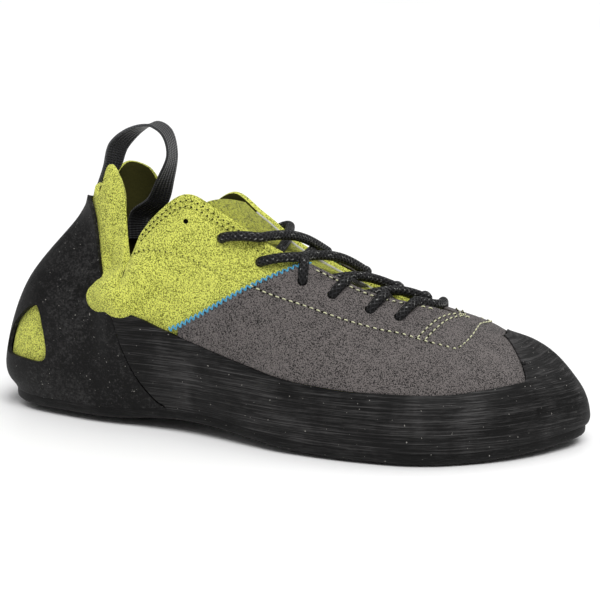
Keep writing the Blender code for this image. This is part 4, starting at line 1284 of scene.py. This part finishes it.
def stitch_shape():
    """One stitch along +X from -0.5 to 0.5, as corners and faces: a short thread that dips at both ends."""
    along = np.linspace(-0.5, 0.5, STITCH_POINTS)
    path = np.stack([along, along * 0, np.cos(along * math.pi) * STITCH_BOW - STITCH_DIP], -1)
    stitch = tube("stitch", path, STITCH_SHAPE_RADIUS, THREAD_SIDES)
    spots = np.array([corner.co for corner in stitch.data.vertices])
    faces = [list(face.vertices) for face in stitch.data.polygons]
    drop(stitch)
    return spots, faces


def sew(name, runs, finish, slot, radius, length, pitch):
    """Rows of stitches. Each run is its points and the way out from the suede at each of them."""
    spots, faces = stitch_shape()
    base = spots * np.array([length, radius / STITCH_SHAPE_RADIUS, radius / STITCH_SHAPE_RADIUS])
    corners, polygons = [], []
    for points, outs in runs:
        both = evenly(np.hstack([points, outs]), pitch)
        centres, ways = both[:, :3], unit(both[:, 3:])
        for centre, way, along in zip(centres, ways, unit(np.gradient(centres, axis=0))):
            first = len(corners) * len(spots)
            polygons.extend([[first + corner for corner in face] for face in faces])
            across = np.cross(way, along)
            corners.append(centre + base[:, :1] * along + base[:, 1:2] * across + base[:, 2:] * way)
    mesh = bpy.data.meshes.new(name)
    mesh.from_pydata(np.vstack(corners).tolist(), [], polygons)
    seat(recalculate(shown(mesh)), finish, slot)


def seam_run(side, sections, levels, height):
    """A line of a seam on the suede and the way out from it."""
    place = ring_place(side, sections)
    return skin_point(place, levels, height), wall_normal(place, levels)


def hole_shade_runs(runs, pitch):
    """The same runs, started half a stitch later and a little lower, for dark marks of painted shade in the
    holes between the stitches.
    """
    lowered = []
    for points, outs in runs:
        later = evenly(np.hstack([points, outs]), pitch / 8)[4:]
        lowered.append((later[:, :3] - later[:, 3:] * THREAD_RADIUS * 0.4, later[:, 3:]))
    return lowered


def make_cream_stitches():
    """The long seam on the vamp, the double row at the front of the throat and a row along its edge."""
    height = SKIN_GAP + VAMP_THICKNESS + THREAD_RADIUS * 0.5
    runs = []
    for side in SIDES:
        for table, shift in ((CREAM_SEAM, 0), (TOE_SEAM, 0), (TOE_SEAM, TOE_SEAM_STEP)):
            section, level = path_on(table, SEAM_STEPS).T
            section = section + shift
            relief = vamp_relief(ring_place(side, section), level)
            runs.append(seam_run(side, section, level, height + relief))
        section = np.linspace(*THROAT_SEAM_SECTIONS, SEAM_STEPS)
        runs.append(seam_under_edge(side, section, THROAT_SEAM_DEPTH, height))
    # Dark marks between the stitches: painted shade in the needle holes
    sew("cream_hole_shade", hole_shade_runs(runs, STITCH_PITCH), "hole_shade", "suede_grey", THREAD_RADIUS * 1.1,
        STITCH_PITCH - STITCH_LENGTH, STITCH_PITCH)
    sew("cream_stitches", runs, "cream_thread", "suede_grey", THREAD_RADIUS, STITCH_LENGTH, STITCH_PITCH)


def make_green_stitches():
    """Tone-on-tone rows: two along the quarter's top edge and one across it."""
    runs = []
    height = THREAD_RADIUS * 0.9
    for side in SIDES:
        section = np.linspace(*EDGE_SEAM_SECTIONS, EDGE_SEAM_STEPS)
        runs += [seam_under_edge(side, section, depth, height) for depth in EDGE_SEAM_DEPTHS]
        section, level = path_on(QUARTER_SEAM, SEAM_STEPS).T
        runs.append(seam_run(side, section, level, height + upper_rise(ring_place(side, section), level)))
    pitch = STITCH_PITCH * GREEN_PITCH_SHARE
    # Dark marks between the stitches: painted shade in the needle holes
    sew("green_hole_shade", hole_shade_runs(runs, pitch), "hole_shade", "suede_green", THREAD_RADIUS * 0.95,
        pitch * 0.36, pitch)
    sew("green_stitches", runs, "green_thread", "suede_green", THREAD_RADIUS * 0.8, pitch * 0.6, pitch)


def seam_under_edge(side, section, depth, height):
    """A line at a depth under the upper's top edge."""
    place = ring_place(side, section)
    length = np.linalg.norm(skin_point(place, 1, 0) - skin_point(place, 1 - DEPTH_STEP, 0), axis=-1)
    level = 1 - DEPTH_STEP * depth / length
    return seam_run(side, section, level, height + upper_rise(place, level))


def make_zigzag():
    """The blue zigzag over the seam between the quarter and the vamp."""
    pieces = []
    for side in SIDES:
        section = np.linspace(*ZIGZAG_SECTIONS, ZIGZAG_STEPS)
        run = seam_run(side, section, vamp_top(ring_place(side, section)), SKIN_GAP + VAMP_THICKNESS)
        both = evenly(np.hstack(run), ZIGZAG_PITCH / len(ZIGZAG_SWING))
        centres, ways = both[:, :3], unit(both[:, 3:])
        across = unit(np.cross(ways, unit(np.gradient(centres, axis=0))))
        step = np.arange(len(centres)) % len(ZIGZAG_SWING)
        swing = np.choose(step, ZIGZAG_SWING) * ZIGZAG_WIDTH
        sink = np.where(step == 0, SKIN_GAP + VAMP_THICKNESS * ZIGZAG_DIP, 0)
        spots = centres + across * swing[:, None] - ways * (sink - THREAD_RADIUS * ZIGZAG_HEIGHT)[:, None]
        pieces.append(tube("zigzag_" + side, evenly(spots, ZIGZAG_PATH_STEP), ZIGZAG_RADIUS, THREAD_SIDES))
    seat(joined("blue_zigzag", pieces), "blue_thread", "suede_green")


# The camera that the photograph fits: angles in degrees, lengths in metres, and the picture in pixels
CAMERA_AZIMUTH = 23.0
CAMERA_ELEVATION = 13.3
CAMERA_DISTANCE = 1.2
CAMERA_AIM = (0.0, 0.0, 0.045)
PICTURE_SIDE = 600
FOCAL_PIXELS = 2806
AXIS_PIXEL = (283.5, 321.0)
SENSOR_WIDTH = 36.0


def way_to(azimuth, elevation):
    """The way from the shoe to a camera or lamp: 0 is the outer side and 90 the toe."""
    azimuth, elevation = math.radians(azimuth), math.radians(elevation)
    return Vector((math.sin(azimuth) * math.cos(elevation), -math.cos(azimuth) * math.cos(elevation),
                   math.sin(elevation)))


def make_camera():
    """The camera that the photograph fits."""
    back = way_to(CAMERA_AZIMUTH, CAMERA_ELEVATION)
    bpy.ops.object.camera_add(location=Vector(CAMERA_AIM) + back * CAMERA_DISTANCE,
                              rotation=(-back).to_track_quat("-Z", "Y").to_euler())
    camera = bpy.context.object
    camera.name = "camera"
    camera.data.sensor_width = SENSOR_WIDTH
    camera.data.lens = FOCAL_PIXELS / PICTURE_SIDE * SENSOR_WIDTH
    camera.data.shift_x = (PICTURE_SIDE / 2 - AXIS_PIXEL[0]) / PICTURE_SIDE
    camera.data.shift_y = (AXIS_PIXEL[1] - PICTURE_SIDE / 2) / PICTURE_SIDE
    camera.data.clip_end = 100
    bpy.context.scene.camera = camera


# Lamps: angles in degrees round the shoe and up, how wide each looks from the shoe, and its strength
Light = namedtuple("Light", "name azimuth elevation width strength")
LIGHTS = [
    Light("key", 38, 56, 38, 2.5),
    Light("back", 150, 62, 60, 1.3),
    Light("heel_side", -70, 45, 60, 0.35),
]
FLOOR_SIDE = 40.0
FLOOR_DROP = 0.0002
SKY_STRENGTH = 0.29
LAMP_DISTANCE = 1.5


def make_stage():
    """The pale floor, the lamps and the sky."""
    looks = bpy.context.scene.shoe_looks
    bpy.ops.object.select_all(action="DESELECT")
    bpy.ops.mesh.primitive_plane_add(size=FLOOR_SIDE, location=(0, 0, -FLOOR_DROP))
    floor = bpy.context.object
    floor.name = "floor"
    floor.data.materials.append(bpy.data.materials["stage_floor"])
    for light in LIGHTS:
        way = way_to(light.azimuth, light.elevation)
        bpy.ops.object.light_add(type="SUN", location=Vector(CAMERA_AIM) + way * LAMP_DISTANCE,
                                 rotation=way.to_track_quat("Z", "Y").to_euler())
        lamp = bpy.context.object
        lamp.name = light.name
        lamp.data.angle = math.radians(light.width)
        lamp.data.energy = light.strength * looks.light
    bpy.context.scene.view_settings.view_transform = "Standard"
    world = bpy.data.worlds.new("studio")
    bpy.context.scene.world = world
    world.use_nodes = True
    sky = world.node_tree.nodes["Background"]
    sky.inputs["Color"].default_value = (1, 1, 1, 1)
    sky.inputs["Strength"].default_value = SKY_STRENGTH * looks.light


def shaded(colour, share):
    """A darker colour: one share for the whole of it, or one for each channel."""
    return tuple(float(value) for value in np.array(colour) * share)


def make_finishes():
    """Every material of the shoe and the stage."""
    looks = bpy.context.scene.shoe_looks
    green, black = tuple(looks.green), tuple(looks.rubber)
    suede("green_suede", green, GREEN_DEEP, tuft_size=0.0005, nap_depth=0.0008)
    # The tongue's olive, half as bright as the upper's lime, is partly painted shade of the throat it lies
    # under
    suede("tongue_suede_and_shade", tuple(looks.tongue), GREEN_DEEP, tuft_size=0.0009, nap_depth=0.0011)
    suede("grey_suede", tuple(looks.grey), GREY_DEEP, tuft_size=0.0005, nap_depth=0.0007)
    # The grey bloom is sanding marks; its lower share on the heel and the sole is painted shade
    sanded_rubber("side_rubber", black, bloom_and_shade=1.0, stretch=(0.10, 0.16, 7.0))
    sanded_rubber("heel_rubber", black, bloom_and_shade=0.6, stretch=(2.0, 2.0, 2.6))
    sanded_rubber("sole_rubber", black, bloom_and_shade=0.4, stretch=(0.25, 0.6, 6.0))
    # The lining's dark colour is partly painted shade of the inside of the shoe
    lining = Finish("lining", LINING_AND_SHADE_COLOUR, 0.95, {"Specular IOR Level": 0.1})
    lining.paint("Normal", lining.bump(lining.noise(lining.place(), 0.0012, 3, 0.6), 0.0004, 0.8))
    # Painted shade for the inside of the holes
    Finish("hole_shade", HOLE_SHADE_COLOUR, 0.95, {"Specular IOR Level": 0.05})
    # The cord is near black; the pale colour is its painted highlights
    braided_cord("black_cord", (0.009, 0.009, 0.010), (0.40, 0.40, 0.38))
    woven_webbing("black_webbing", (0.012, 0.012, 0.014), (0.030, 0.031, 0.034))
    plain_thread("cream_thread", tuple(looks.cream))
    plain_thread("blue_thread", tuple(looks.blue))
    plain_thread("hem_thread", HEM_COLOUR)
    plain_thread("green_thread", shaded(green, 0.85))
    footbed_leather("footbed_leather", (0.22, 0.19, 0.15), (0.12, 0.10, 0.085))
    stage_floor("stage_floor", (0.93, 0.93, 0.93))


def colour_property(name, description, default):
    """A colour among the add-on's settings."""
    return bpy.props.FloatVectorProperty(name=name, description=description, default=default, subtype="COLOR",
                                         min=0, max=1)


class ShoeLooks(bpy.types.PropertyGroup):
    """What a user would change about the shoe's finish."""
    green: colour_property("Green suede", "Colour of the quarters, ears and heel windows",
                           (0.84, 0.87, 0.165))
    # The tongue's default olive is partly painted shade of the throat it lies under
    tongue: colour_property("Tongue suede", "Colour of the tongue", (0.42, 0.44, 0.05))
    grey: colour_property("Grey suede", "Colour of the vamp", (0.165, 0.147, 0.142))
    rubber: colour_property("Rubber", "Colour of the sole and rands", (0.0028, 0.0027, 0.0027))
    cream: colour_property("Cream thread", "Colour of the seams on the vamp", (0.66, 0.66, 0.42))
    blue: colour_property("Blue thread", "Colour of the zigzag seam", (0.06, 0.36, 0.58))
    light: bpy.props.FloatProperty(name="Light", description="Strength of all lights", default=1.0, min=0)


class PieceOperator:
    """What the operators of the shoe share: each calls its makers in turn."""
    bl_options = {"REGISTER", "UNDO"}

    def execute(self, context):
        for make in self.makers:
            make()
        return {"FINISHED"}


class SHOE_OT_camera(PieceOperator, bpy.types.Operator):
    """Adds the camera that the photograph fits"""
    bl_idname = "shoe.camera"
    bl_label = "Camera"
    makers = (make_camera,)


class SHOE_OT_finishes(PieceOperator, bpy.types.Operator):
    """Makes the suede, rubber, cord, webbing and thread finishes"""
    bl_idname = "shoe.finishes"
    bl_label = "Finishes"
    makers = (make_finishes,)


class SHOE_OT_lace(PieceOperator, bpy.types.Operator):
    """Runs the lace through its eyelets"""
    bl_idname = "shoe.lace"
    bl_label = "Lace"
    makers = (make_lace,)


class SHOE_OT_suede(PieceOperator, bpy.types.Operator):
    """Lays the suede upper, vamp and tongue"""
    bl_idname = "shoe.suede"
    bl_label = "Suede"
    makers = (make_upper, make_vamp, make_tongue)


class SHOE_OT_rubber(PieceOperator, bpy.types.Operator):
    """Lays the rands and the outsole"""
    bl_idname = "shoe.rubber"
    bl_label = "Rubber"
    makers = (make_side_rand, make_heel_rand, make_outsole)


class SHOE_OT_footbed(PieceOperator, bpy.types.Operator):
    """Lays the footbed inside the shoe"""
    bl_idname = "shoe.footbed"
    bl_label = "Footbed"
    makers = (make_insole,)


class SHOE_OT_pull_loop(PieceOperator, bpy.types.Operator):
    """Folds the webbing pull loop behind the heel"""
    bl_idname = "shoe.pull_loop"
    bl_label = "Pull Loop"
    makers = (make_pull_loop,)


class SHOE_OT_stitching(PieceOperator, bpy.types.Operator):
    """Sews the cream, green and blue seams, and binds the throat"""
    bl_idname = "shoe.stitching"
    bl_label = "Stitching"
    makers = (make_cream_stitches, make_green_stitches, make_zigzag, make_throat_hem)


class SHOE_OT_stage(PieceOperator, bpy.types.Operator):
    """Sets the pale floor and the soft lights"""
    bl_idname = "shoe.stage"
    bl_label = "Stage"
    makers = (make_stage,)


OPERATORS = [SHOE_OT_camera, SHOE_OT_finishes, SHOE_OT_lace, SHOE_OT_suede, SHOE_OT_rubber, SHOE_OT_footbed,
             SHOE_OT_pull_loop, SHOE_OT_stitching, SHOE_OT_stage]


class SHOE_PT_looks(bpy.types.Panel):
    """Colours and pieces of the climbing shoe"""
    bl_idname = "SHOE_PT_looks"
    bl_label = "Climbing Shoe"
    bl_space_type = "VIEW_3D"
    bl_region_type = "UI"
    bl_category = "Shoe"

    def draw(self, context):
        for name in ShoeLooks.__annotations__:
            self.layout.prop(context.scene.shoe_looks, name)
        for operator in OPERATORS:
            self.layout.operator(operator.bl_idname)


def register():
    for made in (ShoeLooks, *OPERATORS, SHOE_PT_looks):
        bpy.utils.register_class(made)
    bpy.types.Scene.shoe_looks = bpy.props.PointerProperty(type=ShoeLooks)


def unregister():
    del bpy.types.Scene.shoe_looks
    for made in (SHOE_PT_looks, *reversed(OPERATORS), ShoeLooks):
        bpy.utils.unregister_class(made)


def main():
    register()
    for operator in OPERATORS:
        group, name = operator.bl_idname.split(".")
        getattr(getattr(bpy.ops, group), name)()


if __name__ == "__main__":
    main()
